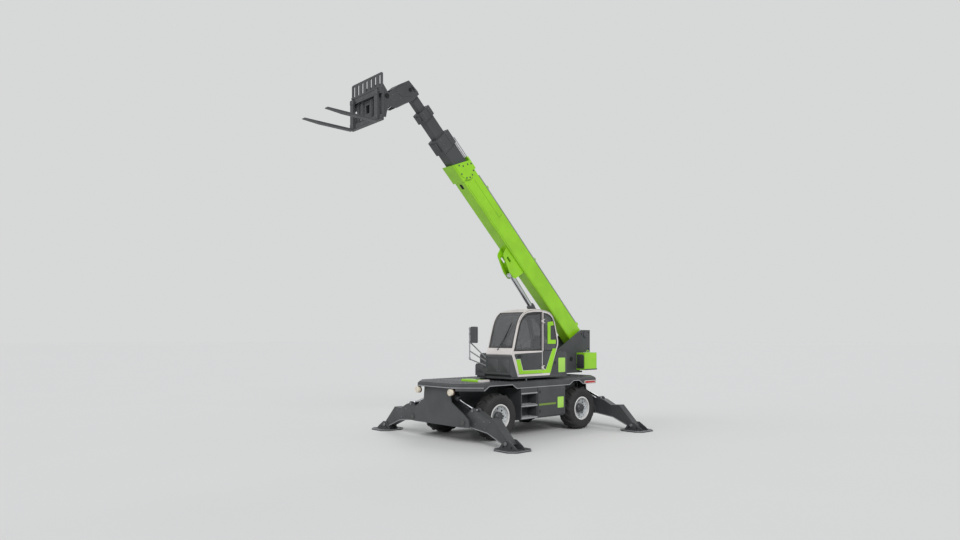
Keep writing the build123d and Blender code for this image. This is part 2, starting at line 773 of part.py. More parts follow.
def front_box():
    low = turret_top + seat_gap
    profile = [(1005, low), (1200, low), (1262, 1600), (1262, 2045), (1237, 2085), (1213, 2085)]
    left = cab_inner - 20
    shape = prism(profile, "XZ", left, cab_outer + 20)
    nose = prism(
        [(-60, low), (left + 1, low), (left + 1, 1900), (220, 1850), (-20, 1850), (-60, 1800)],
        "YZ", 1005, 1262,
    )
    shape += nose
    inside = block((1080, 1185), (-60 + box_skin, cab_outer), (low - 1, 1780))
    return shape - inside


def mirrors():
    """Mirror arm on the front box: two struts, a pole and the mirror head."""
    x, y = 1820, 345
    pole = rod((x, y, 1970), (x, y, 2780), 14)
    upper = rod((1255, y, 2000), (x, y, 2420), 12)
    lower = rod((1255, y, 1800), (x, y, 1985), 12)
    foot_plate_shape = block((1262 + seat_gap, 1274), (y - 40, y + 40), (1760, 2040))
    upper -= block((1200, 1262 + seat_gap), (y - 60, y + 60), (1700, 2100))
    lower -= block((1200, 1262 + seat_gap), (y - 60, y + 60), (1700, 2100))
    head = block((x - 30, x + 30), (y + 60, y + 270), (2390, 2800))
    head = fillet(head.edges().filter_by(Axis.X), 35)
    arm = block((x - 12, x + 12), (y, y + 90), (2600, 2630))
    return pole + upper + lower + foot_plate_shape + head + arm


def counterweight():
    """Cast block across the tail, with a slot between its ears for the cheek plates."""
    slot = cheek_inner + cheek_plate + seat_gap
    plan = [
        (weight_front, weight_half_width), (weight_rear, weight_half_width),
        (weight_rear, -weight_half_width), (weight_front, -weight_half_width),
        (weight_front, -slot), (weight_slot_end, -slot), (weight_slot_end, slot), (weight_front, slot),
    ]
    shape = prism(plan, "XY", weight_bottom, weight_top)
    corners_out = shape.edges().filter_by(Axis.Z).group_by(Axis.X)[0]
    return fillet(corners_out, 120)


def section_face(name, grow_by, radius):
    """Rounded rectangle of a section's size plus grow_by, standing across the boom's axis."""
    height, width = sections[name][:2]
    return RectangleRounded(width + grow_by, height + grow_by, radius)


def boom_plane(s):
    return Plane(origin=(s, 0, boom_axis_n), x_dir=(0, 1, 0), z_dir=(1, 0, 0))


def tube(name):
    """Boom section: box tube with rounded corners, drawn along X and centred on the boom's axis."""
    height, width, wall, rear, front = sections[name][:5]
    outer = extrude(boom_plane(rear) * section_face(name, 0, corner_radius), front - rear)
    inner = extrude(
        boom_plane(rear) * section_face(name, -2 * wall, corner_radius - wall), front - rear
    )
    return outer - inner


def collar(name, inner_name):
    """Front collar of a section, cut slanting, lined by the pads that the next section slides in."""
    height, width, wall, rear, front, top_reach, low_reach = sections[name]
    start = front - collar_overlap
    reach = collar_overlap + max(top_reach, low_reach)
    outer = extrude(boom_plane(start) * section_face(name, 2 * collar_build, 40), reach)
    half = height / 2 + collar_build + 1
    slant = prism(
        [(start - 1, boom_axis_n - half), (front + low_reach, boom_axis_n - half),
         (front + top_reach, boom_axis_n + half), (start - 1, boom_axis_n + half)],
        "XZ", -width, width,
    )
    bore = extrude(
        boom_plane(start - 5) * section_face(inner_name, 2 * slide_clearance, corner_radius), reach + 10
    )
    return (outer & slant) - bore


def collar_cheeks():
    """Shaped plates on both sides of the base section's collar."""
    half = sections["boom_base"][1] / 2 + collar_build
    middle, front = boom_axis_n, sections["boom_base"][4]
    outline = [
        (front + 165, middle + 262), (front + 235, middle + 130), (front + 290, middle - 20),
        (front + 380, middle - 120), (front + 440, middle - 268), (front + 130, middle - 268),
        (front - 60, middle - 190), (front - 130, middle - 70), (front - 130, middle + 60),
        (front - 70, middle + 190), (front + 20, middle + 262),
    ]
    return [prism(outline, "XZ", half - 1, half + 12), prism(outline, "XZ", -half - 12, -half + 1)]


def boom_base():
    height, width, wall, rear, front = sections["boom_base"][:5]
    shape = tube("boom_base")
    low, high = boom_axis_n - height / 2, boom_axis_n + height / 2
    shape += block((rear, rear + 30), (-width / 2, width / 2), (low + 40, high - 40))
    shape += collar("boom_base", "boom_section_two")
    for cheek in collar_cheeks():
        shape += cheek
    boss = rod((0, -width / 2 - 60, 0), (0, width / 2 + 60, 0), 128)
    shape += boss
    s, n = lift_pin
    bracket = [
        (s - 220, low + 2), (s + 690, low + 2), (s + 650, low - 190), (s + 600, low - 240),
        (s + 150, n - 84), (s - 60, n - 84), (s - 120, n - 40),
    ]
    for y_low, y_high in ((-126, -100), (100, 126)):
        plate = prism(bracket, "XZ", y_low, y_high)
        shape += plate - block((s + 320, s + 500), (y_low - 1, y_high + 1), (low - 200, low - 130))
    for y_low, y_high in ((-134, -90), (90, 134)):
        shape += rod((s, y_low, n), (s, y_high, n), 66)
    shape -= rod((0, -400, 0), (0, 400, 0), boom_pin_radius + pin_clearance)
    return to_boom(shape)


def boom_section(name, inner_name):
    return to_boom(tube(name) + collar(name, inner_name))


def boom_head():
    """Last section with the down-turned head that carries the fork carriage."""
    height = sections["boom_head"][0]
    top = boom_axis_n + height / 2
    low = boom_axis_n - height / 2
    s, n = head_pin
    outline = [
        (8360, top), (8440, -60), (8760, -100), (8850, -425), (8870, -770), (s + 70, n + 60),
        (s + 70, n - 60), (s - 40, n - 90), (8640, -1010), (8500, -856), (8433, -595), (8360, low - 20),
    ]
    shape = prism(outline, "XZ", -head_half_width, head_half_width)
    shape += rod((s, -head_half_width, n), (s, head_half_width, n), 100)
    inner = head_half_width - head_plate
    cavity = [
        (8470, -150), (8710, -160), (8790, -430), (8800, -600), (8990, -660), (8990, -1200),
        (8300, -1200), (8300, -560), (8470, -420),
    ]
    shape += tube("boom_head")
    shape -= prism(cavity, "XZ", -inner, inner)
    shape -= rod((s, -300, n), (s, 300, n), head_pin_radius + pin_clearance)
    s, n = tilt_anchor
    shape += rod((s, -head_half_width - 8, n), (s, head_half_width + 8, n), 26)
    return to_boom(shape)


def fork_carriage():
    """Coupler plates on the head's pin, the carriage's bars and the load guard above them."""
    x, z = boom_point(*head_pin)
    eye_x, eye_z = boom_point(*tilt_eye)
    inner = head_half_width + swing_gap
    cheeks = [
        (x - 95, z + 30), (x - 20, z + 110), (x + 110, z + 270), (carriage_back + 10, z + 130),
        (carriage_back + 10, eye_z - 110), (eye_x - 60, eye_z - 60), (eye_x - 75, eye_z + 30),
        (x - 95, z - 40),
    ]
    shape = None
    for low, high in ((inner, inner + coupler_plate), (-inner - coupler_plate, -inner)):
        plate = prism(cheeks, "XZ", low, high)
        shape = plate if shape is None else shape + plate
    for side in (1, -1):
        stub = side * (head_half_width - head_plate + 1)
        shape += rod((x, stub, z), (x, side * (inner + coupler_plate + 12), z), head_pin_radius)
    tube_x, tube_z = eye_x + coupler_tube[0], eye_z + coupler_tube[1]
    shape += rod((tube_x, -inner - 5, tube_z), (tube_x, inner + 5, tube_z), 35)
    for low, high in ((-72, -50), (50, 72)):
        shape += prism(
            [(eye_x - 48, eye_z + 30), (eye_x - 30, eye_z - 48), (tube_x + 10, tube_z - 50),
             (tube_x + 45, tube_z), (tube_x + 10, tube_z + 50), (eye_x + 20, eye_z + 48)],
            "XZ", low, high,
        )
    half = carriage_half_width
    back, front = carriage_back, carriage_front
    for low, high in (
        (carriage_bottom + 20, carriage_bottom + 130), (carriage_top - 110, carriage_top),
    ):
        shape += block((back, front), (-half, half), (low, high))
    shape += block(
        (back, back + 14), (-half, half), (carriage_bottom + 100, carriage_top - 100)
    ) - [
        block((back - 1, back + 15), (y - w, y + w), (carriage_bottom + z, carriage_bottom + z + h))
        for y, w, z, h in ((-470, 60, 330, 130), (-250, 55, 200, 60), (0, 70, 300, 190), (470, 60, 330, 130))
    ]
    for y in (-half, -360, -inner - coupler_plate, inner, 360 - 30, half - 30):
        shape += block((back, back + 40), (y, y + 30), (carriage_bottom + 20, carriage_top))
    guard = block((back + 20, back + 44), (-half, half), (carriage_top + 14, carriage_top + guard_height))
    guard = fillet(guard.edges().filter_by(Axis.X).group_by(Axis.Z)[-1], 45)
    pitch = (2 * half - 34) / guard_slots
    for i in range(guard_slots):
        y = -half + 17 + pitch * (i + 0.5)
        slot = block(
            (back, back + 60), (y - guard_slot_width / 2, y + guard_slot_width / 2),
            (carriage_top + 85, carriage_top + guard_height - 38),
        )
        guard -= fillet(slot.edges().filter_by(Axis.X).group_by(Axis.Z)[-1], 28)
    shape += guard
    for y in (-half, -300, 260, half - 40):
        shape += block((back, back + 30), (y, y + 40), (carriage_top - 60, carriage_top + 60))
    return shape


def fork_tines():
    face = carriage_front + seat_gap
    top = carriage_bottom + tine_thickness - 20
    profile = [
        (face, carriage_top - 20), (face + tine_thickness, carriage_top - 20),
        (face + tine_thickness, top), (face + tine_length, top), (face + tine_length, top - 14),
        (face + tine_length - 400, top - tine_thickness), (face + 40, top - tine_thickness),
        (face, top - tine_thickness + 40),
    ]
    tines = []
    for side in (1, -1):
        y = side * tine_spacing / 2
        tines.append(prism(profile, "XZ", y - tine_width / 2, y + tine_width / 2))
    return solids_of(tines)


def side_boxes():
    """Left: tank box and the step module beside it. Right: the tank. Both open towards the frame."""
    inner = frame_half_width + seat_gap
    top = deck_bottom - lip_depth - seat_gap
    profile = [
        (inner, top), (deck_half_width, top), (deck_half_width, side_box_bottom + 60),
        (deck_half_width - 60, side_box_bottom), (inner, side_box_bottom + 60),
    ]
    hollow = offset(make_face(Polyline(*profile, close=True)), -box_skin, kind=Kind.INTERSECTION)

    def tank(rear, front):
        inside = extrude(Plane.YZ * Pos(0, 0, rear + box_skin) * hollow, front - rear - 2 * box_skin)
        mouth = block((rear + box_skin, front - box_skin), (inner - 1, inner + box_skin + 1),
                      (side_box_bottom + 90, top - box_skin))
        return prism(profile, "YZ", rear, front) - inside - mouth

    left = tank(side_box_rear, side_box_front)
    right = mirror(tank(side_box_rear, step_front), about=Plane.XZ)
    steps = prism(profile, "YZ", step_rear, step_front)
    for low, high in ((820, 1090), (500, 760)):
        steps -= block((step_rear + 25, step_front - 25), (deck_half_width - 330, deck_half_width + 5),
                       (low, high))
    return solids_of([left, steps, right])


def headlamps():
    lamps = []
    for side in (1, -1):
        y = side * lamp_y
        z = deck_bottom - lamp_radius - 13
        lamp = rod((deck_end - 70, y, z), (deck_end + 28, y, z), lamp_radius)
        lamp += block(
            (deck_end - 68, deck_end - 55), (y - 25, y + 25), (z, deck_top - deck_skin - seat_gap)
        )
        lamps.append(lamp)
    return lamps


def lamps():
    """Headlamps hung under the deck's nose, and tail lamps on its rear side lips."""
    lamps = headlamps()
    for side in (1, -1):
        y = sorted((side * (deck_half_width + seat_gap), side * (deck_half_width + 18)))
        lamps.append(block((tail_lamp_rear, tail_lamp_front), y, (deck_bottom - 50, deck_bottom + 28)))
    return solids_of(lamps)


def deck_cover():
    shape = block((1560, 1860), (60, 800), (deck_top + seat_gap, deck_top + 55))
    return fillet(shape.edges().group_by(Axis.Z)[-1], 30)


def drive_shaft():
    reach = wheel_x - 130 - seat_gap
    shape = rod((-reach, 0, shaft_z), (reach, 0, shaft_z), shaft_radius)
    shape += block((-260, 260), (-180, 180), (frame_bottom + 20 + seat_gap, shaft_z + 120))
    return shape


save("chassis_frame", chassis_frame())
save("slew_ring", slew_ring())
save("deck", deck())
save("stabiliser_housings", solids_of(both_ends(housing())))
save("axle_housings", solids_of(both_ends(axle_housing())))
save("drive_shaft", drive_shaft())
save("side_boxes", side_boxes())
save("lamps", lamps())
save("deck_cover", deck_cover())

one_tyre, one_rim, one_knuckle = tyre(), rim(), knuckle()
one_leg, one_foot = leg(), foot()
leg_barrel, leg_rod = ram(
    ram_anchor, ram_eye, ram_radius, ram_rod_radius, ram_barrel_length, ram_retract,
    lambda a, b, x: (x, a, b), leg_x - 45, leg_x + 45, 22,
)
for corner, end, side in corners:
    save(f"knuckle_{corner}", at_corner(one_knuckle, end, side))
    save(f"rim_{corner}", at_corner(one_rim, end, side))
    save(f"tyre_{corner}", at_corner(one_tyre, end, side))
    save(f"leg_{corner}", at_corner(one_leg, end, side))
    save(f"foot_{corner}", at_corner(one_foot, end, side))
    save(f"leg_barrel_{corner}", at_corner(leg_barrel, end, side))
    save(f"leg_rod_{corner}", at_corner(leg_rod, end, side))

save("turret_frame", turret_frame())
save("engine_hood", engine_hood())
save("engine", engine())
save("cabinet", cabinet())
save("front_box", front_box())
save("mirror_arm", mirrors())
save("counterweight", counterweight())
save("cab_frame", cab_frame())
save("cab_glass", cab_glass())
save("cab_door", cab_door())
save("cab_door_glass", door_glass())
save("operator_seat", seat())
save("cab_console", console())

save("boom_base", boom_base())
save("boom_section_two", boom_section("boom_section_two", "boom_section_three"))
save("boom_section_three", boom_section("boom_section_three", "boom_head"))
save("boom_head", boom_head())
lift_barrel, lift_rod = ram(
    lift_anchor, boom_point(*lift_pin), lift_radius, lift_rod_radius, lift_barrel_length,
    lift_retract, lambda a, b, y: (a, y, b), -80, 80, lift_pin_radius,
)
save("lift_barrel", lift_barrel)
save("lift_rod", lift_rod)
tilt_barrel, tilt_rod = ram(
    boom_point(*tilt_anchor), boom_point(*tilt_eye), tilt_radius, tilt_rod_radius,
    tilt_barrel_length, tilt_retract, lambda a, b, y: (a, y, b), -42, 42, 26,
)
save("tilt_barrel", tilt_barrel)
save("tilt_rod", tilt_rod)
save("fork_carriage", fork_carriage())
save("fork_tines", fork_tines())
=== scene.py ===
import math
import bmesh
import bpy
import numpy as np
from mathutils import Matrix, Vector


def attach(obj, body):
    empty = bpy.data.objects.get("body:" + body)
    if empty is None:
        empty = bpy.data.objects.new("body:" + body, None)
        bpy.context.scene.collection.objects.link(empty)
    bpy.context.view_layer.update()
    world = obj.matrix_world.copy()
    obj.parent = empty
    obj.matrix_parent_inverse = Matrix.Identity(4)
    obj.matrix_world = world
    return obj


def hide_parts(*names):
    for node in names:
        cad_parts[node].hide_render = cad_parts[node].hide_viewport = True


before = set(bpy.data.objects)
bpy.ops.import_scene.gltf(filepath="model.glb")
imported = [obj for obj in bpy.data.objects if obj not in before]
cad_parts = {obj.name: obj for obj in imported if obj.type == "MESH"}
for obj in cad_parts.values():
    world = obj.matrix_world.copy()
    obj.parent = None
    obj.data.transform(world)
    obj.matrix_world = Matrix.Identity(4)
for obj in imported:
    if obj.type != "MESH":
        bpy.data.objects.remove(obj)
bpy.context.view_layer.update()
print("frame loaded:", len(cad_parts), "nodes")

corners = [("front_left", 1, 1), ("front_right", 1, -1), ("rear_left", -1, 1), ("rear_right", -1, -1)]
straight = ((1, 0, 0), (0, 1, 0), (0, 0, 1))


# Every shape below is an array of points and a list of faces.

def gridFaces(rows, columns, closeRows=False, closeColumns=True):
    # four-sided faces between neighbouring rows and columns of a grid of points
    r = np.arange(rows if closeRows else rows - 1)
    c = np.arange(columns if closeColumns else columns - 1)
    a, b = np.meshgrid(r, c, indexing="ij")
    a2, b2 = (a + 1) % rows, (b + 1) % columns
    quads = np.stack([a * columns + b, a2 * columns + b, a2 * columns + b2, a * columns + b2], -1)
    return quads.reshape(-1, 4).tolist()


def unit(v):
    v = np.asarray(v, float)
    return v / np.maximum(np.linalg.norm(v, axis=-1, keepdims=True), 1e-12)


def sweep(path, profile, up=(0, 0, 1), closed=False):
    # profile (across, along up) carried along path; corners are mitred: the section stands in the
    # plane that halves the corner and is stretched across it by one over the cosine of half the turn
    path, profile = np.asarray(path, float), np.asarray(profile, float)
    ahead = unit(np.roll(path, -1, 0) - path)
    if not closed:
        ahead[-1] = ahead[-2]
    behind = np.roll(ahead, 1, 0)
    if not closed:
        behind[0] = ahead[0]
    tangent = unit(ahead + behind)
    side = unit(np.cross(tangent, np.broadcast_to(np.asarray(up, float), path.shape)))
    rise = unit(np.cross(side, tangent))
    offset = profile[None, :, :1] * side[:, None] + profile[None, :, 1:] * rise[:, None]
    bend = unit(ahead - behind)[:, None]
    turns = np.linalg.norm(ahead - behind, axis=-1)[:, None, None] > 1e-6
    stretch = 1 / np.maximum(np.sum(tangent * ahead, -1), 0.3)[:, None, None]
    along = np.sum(offset * bend, -1, keepdims=True)
    points = path[:, None] + offset + np.where(turns, along * bend * (stretch - 1), 0)
    rows, columns = points.shape[:2]
    faces = gridFaces(rows, columns, closeRows=closed)
    if not closed:
        faces += [list(range(columns)), list(range((rows - 1) * columns, rows * columns))]
    return points.reshape(-1, 3), faces


def ring(radius, count=12):
    # points round a circle
    a = np.linspace(0, 2 * np.pi, count, endpoint=False)
    return np.stack([radius * np.cos(a), radius * np.sin(a)], -1)


def softBar(width, height, edge):
    # section of a flat bar lying on its back: width across, height up from 0, its upper edges rounded off
    w = width / 2
    return np.array([[-w, 0], [w, 0], [w, height - edge], [w - edge * 0.3, height - edge * 0.3],
        [w - edge, height], [edge - w, height], [edge * 0.3 - w, height - edge * 0.3], [-w, height - edge]])


def lathe(profile, centre, axis, count=32):
    # profile (radius, distance along the axis) turned once about the axis through centre
    axis = unit(axis)
    first = unit(np.cross(axis, (0.31, 0.17, 0.93)))
    second = np.cross(axis, first)
    a = np.linspace(0, 2 * np.pi, count, endpoint=False)
    p = np.asarray(profile, float)
    spokes = np.cos(a)[:, None] * first + np.sin(a)[:, None] * second
    points = np.asarray(centre, float) + p[:, None, :1] * spokes[None] + p[:, None, 1:] * axis
    return points.reshape(-1, 3), gridFaces(len(p), count)


def insetOutline(outline, amount):
    # every corner of a closed outline moved inwards by amount, measured square to its two sides
    p = np.asarray(outline, float)
    ahead = unit(np.roll(p, -1, 0) - p)
    area = np.sum(p[:, 0] * np.roll(p[:, 1], -1) - np.roll(p[:, 0], -1) * p[:, 1])
    square = np.sign(area) * np.stack([-ahead[:, 1], ahead[:, 0]], -1)
    normals = unit(square + np.roll(square, 1, 0))
    return p + amount * normals / np.maximum(np.sum(normals * square, -1, keepdims=True), 0.3)


def plate(outline, thickness, edge=0.002, steps=3):
    # flat plate of any outline, its back at height 0; its upper edge is a quarter circle: inset
    # edge * (1 - cos a) at height thickness - edge * (1 - sin a)
    a = np.linspace(0, np.pi / 2, steps)
    rings = [(0, 0)] + list(zip(edge * (1 - np.cos(a)), thickness - edge * (1 - np.sin(a))))
    points = [np.column_stack([insetOutline(outline, inset), np.full(len(outline), height)])
        for inset, height in rings]
    count = len(outline)
    faces = gridFaces(len(rings), count)
    faces += [list(range(count)), list(range(steps * count, (steps + 1) * count))]
    return np.concatenate(points), faces


def roundedOutline(low, high, radius, steps=4):
    # rectangle between two corners with quarter circles of the given radius at its corners
    centres = [(high[0] - radius, high[1] - radius), (low[0] + radius, high[1] - radius),
        (low[0] + radius, low[1] + radius), (high[0] - radius, low[1] + radius)]
    a = np.linspace(0, np.pi / 2, steps + 1)
    return np.concatenate([np.stack([x + radius * np.cos(a + q * np.pi / 2),
        y + radius * np.sin(a + q * np.pi / 2)], -1) for q, (x, y) in enumerate(centres)])


def panel(low, high, radius, thickness, edge=0.002, steps=3):
    # plate on a rounded rectangle
    return plate(roundedOutline(low, high, radius), thickness, edge, steps)


def moved(shape, origin, axes=straight):
    # shape drawn in its own three directions, put at origin with those directions turned to axes
    points, faces = shape
    return np.asarray(origin, float) + np.asarray(points) @ np.asarray(axes, float), faces


def joined(shapes):
    # several shapes as one array of points and one list of faces
    points, faces, count = [], [], 0
    for p, f in shapes:
        points.append(np.asarray(p, float))
        faces += [[i + count for i in face] for face in f]
        count += len(p)
    return np.concatenate(points), faces


def addPiece(name, shapes, material, body, replaces=(), smooth=35.0):
    # shapes become one mesh object at the origin that rides on a body; doubles are merged first, then the
    # faces are turned outwards, and edges sharper than the smooth angle stay sharp
    points, faces = joined(shapes)
    mesh = bpy.data.meshes.new(name)
    mesh.from_pydata(points.tolist(), [], faces)
    work = bmesh.new()
    work.from_mesh(mesh)
    bmesh.ops.remove_doubles(work, verts=work.verts, dist=1e-5)
    bmesh.ops.recalc_face_normals(work, faces=work.faces)
    work.to_mesh(mesh)
    work.free()
    mesh.polygons.foreach_set("use_smooth", np.ones(len(mesh.polygons), bool))
    mesh.set_sharp_from_angle(angle=math.radians(smooth))
    mesh.materials.append(material)
    piece = bpy.data.objects.new(name, mesh)
    bpy.context.scene.collection.objects.link(piece)
    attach(piece, body)
    if replaces:
        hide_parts(*replaces)
    return piece


# Planes of the machine, each with its origin and its three directions: across, up and outwards.
boomLine = dict(angle=44.0, pivot=(-2.8, 0, 2.6))
boomLean = math.radians(boomLine["angle"])
boomAxes = ((math.cos(boomLean), 0, math.sin(boomLean)), (0, 1, 0),
    (-math.sin(boomLean), 0, math.cos(boomLean)))


def alongBoom(shape):
    # drawn in (s along the boom, y to the left, n above its pivot line)
    return moved(shape, boomLine["pivot"], boomAxes)


def onSide(shape, y):
    # drawn in (x, z, height above the side face at y)
    return moved(shape, (0, y, 0), ((1, 0, 0), (0, 0, 1), (0, 1 if y > 0 else -1, 0)))


def onFront(shape, x, outwards=1):
    # drawn in (y, z, height above a face across the machine at x)
    return moved(shape, (x, 0, 0), ((0, 1, 0), (0, 0, 1), (outwards, 0, 0)))


def onTop(shape, z, up=1):
    # drawn in (x, y, height above z)
    return moved(shape, (0, 0, z), ((1, 0, 0), (0, 1, 0), (0, 0, up)))


def onBoomSide(shape, y):
    # drawn in (s, n, height above the boom's side at y)
    return alongBoom(onSide(shape, y))


def onBoomTop(shape, n, up=1):
    # drawn in (s, y, height above n)
    return alongBoom(onTop(shape, n, up))


def disc(radius, height):
    # profile of a flat disc for lathe
    return [(0, 0), (radius, 0), (radius, height), (0, height)]


def pinHead(radius, height):
    # profile of a turned head with a rounded rim and a shallow dish in its middle
    return [(0, 0), (radius, 0), (radius, height * 0.7), (radius * 0.88, height), (radius * 0.55, height),
        (radius * 0.45, height * 0.7), (0, height * 0.65)]


def bolt(radius, height):
    # hexagon head on a washer, standing on height 0
    head = [(radius, 0.003), (radius, height), (radius * 0.86, height + 0.002), (0, height + 0.002)]
    return joined([lathe(disc(radius * 1.35, 0.003), (0, 0, 0), (0, 0, 1), 12),
        lathe(head, (0, 0, 0), (0, 0, 1), 6)])


def bolts(spots, radius, height, put, *places):
    # a bolt at every spot (across, up) of every place; put lays it there, as onSide or onTop do
    return [put(moved(bolt(radius, height), (u, v, 0)), *np.atleast_1d(place)) for place in places
        for u, v in spots]


def circle(radius, count, start=0.0, middle=(0, 0)):
    # spots round a circle, the first at the angle start
    a = start + 2 * np.pi * np.arange(count) / count
    return np.stack([middle[0] + radius * np.cos(a), middle[1] + radius * np.sin(a)], -1)


def pipe(points, radius, count=10):
    return sweep(points, ring(radius, count), up=(0.13, 0.21, 0.97))


def roundedPath(corners, radius, steps=5):
    # polyline whose corners give way to curves (1 - t)^2 start + 2t(1 - t) corner + t^2 end, which
    # start and end radius away from each
    p = np.asarray(corners, float)
    out = [p[:1]]
    for i in range(1, len(p) - 1):
        t = np.linspace(0, 1, steps + 1)[:, None]
        start, end = p[i] + unit(p[i - 1] - p[i]) * radius, p[i] + unit(p[i + 1] - p[i]) * radius
        out.append((1 - t) ** 2 * start + 2 * t * (1 - t) * p[i] + t ** 2 * end)
    return np.concatenate(out + [p[-1:]])


def bentPipe(corners, bend, radius, count=10, steps=5):
    return pipe(roundedPath(corners, bend, steps), radius, count)


def stripeOn(path, width, height, y, edge=0.002, closed=False):
    # flat raised band that follows a path of (x, z) on the side face at y
    up = (0, 1 if y > 0 else -1, 0)
    return sweep([(x, y, z) for x, z in path], softBar(width, height, edge), up=up, closed=closed)


def toLinear(hexColour):
    # sRGB hex value to linear red, green, blue and 1
    c = np.array([int(hexColour[i:i + 2], 16) for i in (1, 3, 5)]) / 255
    return (*np.where(c <= 0.04045, c / 12.92, ((c + 0.055) / 1.055) ** 2.4), 1.0)


def addNode(tree, kind, settings=None, values=None, links=None):
    # one node with its own settings, the values of its free sockets, and what feeds it: a socket, or a
    # node for its first output
    node = tree.nodes.new("ShaderNode" + kind)
    for key, value in (settings or {}).items():
        setattr(node, key, value)
    for key, value in (values or {}).items():
        node.inputs[key].default_value = value
    for key, source in (links or {}).items():
        tree.links.new(getattr(source, "outputs", [source])[0], node.inputs[key])
    return node


def startMaterial(name, shader):
    # material with an empty tree, its output and a Principled shader with constant sockets set
    material = bpy.data.materials.new(name)
    material.use_nodes = True
    tree = material.node_tree
    tree.nodes.clear()
    surface = addNode(tree, "BsdfPrincipled", values=shader)
    addNode(tree, "OutputMaterial", links={"Surface": surface})
    return material, tree, surface


def coatFinish(name, **look):
    # sprayed or moulded coat over a body: broad cloudy colour change, a finer dust that gathers on
    # upward faces, worn edges found with the Bevel node, and a skin texture as bump
    shader = {"Metallic": look.get("metallic", 0.0), "IOR": 1.5, "Coat Weight": look.get("coat", 0.0),
        "Coat Roughness": 0.1}
    material, tree, surface = startMaterial(name, shader)
    place = addNode(tree, "TexCoord").outputs["Object"]
    cloud = addNode(tree, "TexNoise", values={"Scale": 2.2, "Detail": 4.0}, links={"Vector": place})
    share = addNode(tree, "MapRange", values={"From Min": 0.38, "From Max": 0.66}, links={"Value": cloud})
    colour = addNode(tree, "Mix", {"data_type": "RGBA"},
        {6: toLinear(look["base"]), 7: toLinear(look["shade"])}, {0: share}).outputs[2]
    facts = addNode(tree, "NewGeometry")
    if look.get("dust", 0) > 0:
        speck = addNode(tree, "TexNoise", values={"Scale": 26.0, "Detail": 6.0, "Roughness": 0.7},
            links={"Vector": place})
        facing = addNode(tree, "SeparateXYZ", links={0: facts.outputs["Normal"]})
        amount = addNode(tree, "MapRange", values={"From Min": -0.4, "From Max": 1.0,
            "To Max": look["dust"]}, links={"Value": facing.outputs[2]})
        dusty = addNode(tree, "Math", {"operation": "MULTIPLY"}, links={0: amount, 1: speck})
        colour = addNode(tree, "Mix", {"data_type": "RGBA"},
            {7: toLinear(look.get("dustColour", "#8a8478"))}, {0: dusty, 6: colour}).outputs[2]
    if look.get("wear", 0) > 0:
        edge = addNode(tree, "Bevel", {"samples": 4}, {"Radius": look.get("edge", 0.006)})
        along = addNode(tree, "VectorMath", {"operation": "DOT_PRODUCT"},
            links={0: edge, 1: facts.outputs["Normal"]})
        chips = addNode(tree, "TexNoise", values={"Scale": 60.0, "Detail": 3.0}, links={"Vector": place})
        worn = addNode(tree, "MapRange", values={"From Min": 0.995, "From Max": 0.93,
            "To Max": look["wear"]}, links={"Value": along.outputs["Value"]})
        worn = addNode(tree, "Math", {"operation": "MULTIPLY"}, links={0: worn, 1: chips})
        colour = addNode(tree, "Mix", {"data_type": "RGBA"}, {7: toLinear(look["worn"])},
            {0: worn, 6: colour}).outputs[2]
    tree.links.new(colour, surface.inputs["Base Color"])
    rough = look["roughness"]
    spread = addNode(tree, "MapRange", values={"To Min": rough - 0.06, "To Max": rough + 0.08},
        links={"Value": cloud})
    tree.links.new(spread.outputs[0], surface.inputs["Roughness"])
    skin = addNode(tree, "TexNoise", values={"Scale": look.get("grain", 180.0), "Detail": 2.0},
        links={"Vector": place})
    bump = addNode(tree, "Bump", values={"Strength": look["skin"], "Distance": 0.001},
        links={"Height": skin})
    tree.links.new(bump.outputs[0], surface.inputs["Normal"])
    return material


# Two-pack polyurethane sprayed on steel: smooth, a little wavy like orange peel, a soft gloss
charcoalEnamel = coatFinish("charcoalEnamelSprayed", base="#444648", shade="#3b3d3f", roughness=0.46,
    dust=0.12, dustColour="#77746e", wear=0.8, worn="#7c7f83", skin=0.06)
# The boom's finish, a bright yellow-green top coat with a clear sheen
limeEnamel = coatFinish("limeEnamelSprayed", base="#95d31c", shade="#8bc718", roughness=0.36, coat=0.25,
    dust=0.04, dustColour="#a9b27a", wear=0.5, worn="#b5e86a", skin=0.05)
# The same enamel along the weld lines, darker as painted shade in place of a groove, with a coarse skin
limeWeldPaintedShade = coatFinish("limeEnamelWeldPaintedShade", base="#78b41a", shade="#6ba416", roughness=0.5, skin=0.25,
    grain=120)
# Off-white enamel on the cab's pressed panels, faintly warm
ivoryEnamel = coatFinish("ivoryEnamelSprayed", base="#d9d4d1", shade="#cfc9c6", roughness=0.4, coat=0.2,
    dust=0.06, dustColour="#b0a89c", wear=0.35, worn="#efebe8", skin=0.05)
# Aluminium-flake enamel on the pressed steel wheels
silverEnamel = coatFinish("silverEnamelSprayed", base="#c9ccce", shade="#b4b7ba", metallic=0.45,
    roughness=0.4, dust=0.1, wear=0.4, worn="#e4e6e7", skin=0.06)
# White powder coat, thick and glossy, on the rims' bands
rimEnamel = coatFinish("whiteEnamelPowderCoated", base="#dededc", shade="#d3d3d0", roughness=0.28, coat=0.4,
    dust=0.1, skin=0.05)
# Light grey enamel on handrails and treads; the same grey on the boom's top edges and the deck's edges is a
# painted highlight
paleGreyEnamelAndHighlight = coatFinish("paleGreyEnamelAndPaintedHighlight", base="#9a9c9e", shade="#8b8d90", roughness=0.5,
    dust=0.1, wear=0.5, worn="#b9bbbd", skin=0.06)
# Machined steel left bare, dull with oil
oiledSteel = coatFinish("oiledSteelTurned", base="#6a6a69", shade="#555453", metallic=0.85, roughness=0.42,
    dust=0.15, wear=0.4, worn="#a6a6a4", skin=0.05, grain=90)
# Sand-cast grey iron, coarse and matt
castIron = coatFinish("castIronSand", base="#3c3b3a", shade="#2f2e2d", metallic=0.3, roughness=0.7,
    dust=0.2, skin=0.3, grain=120)
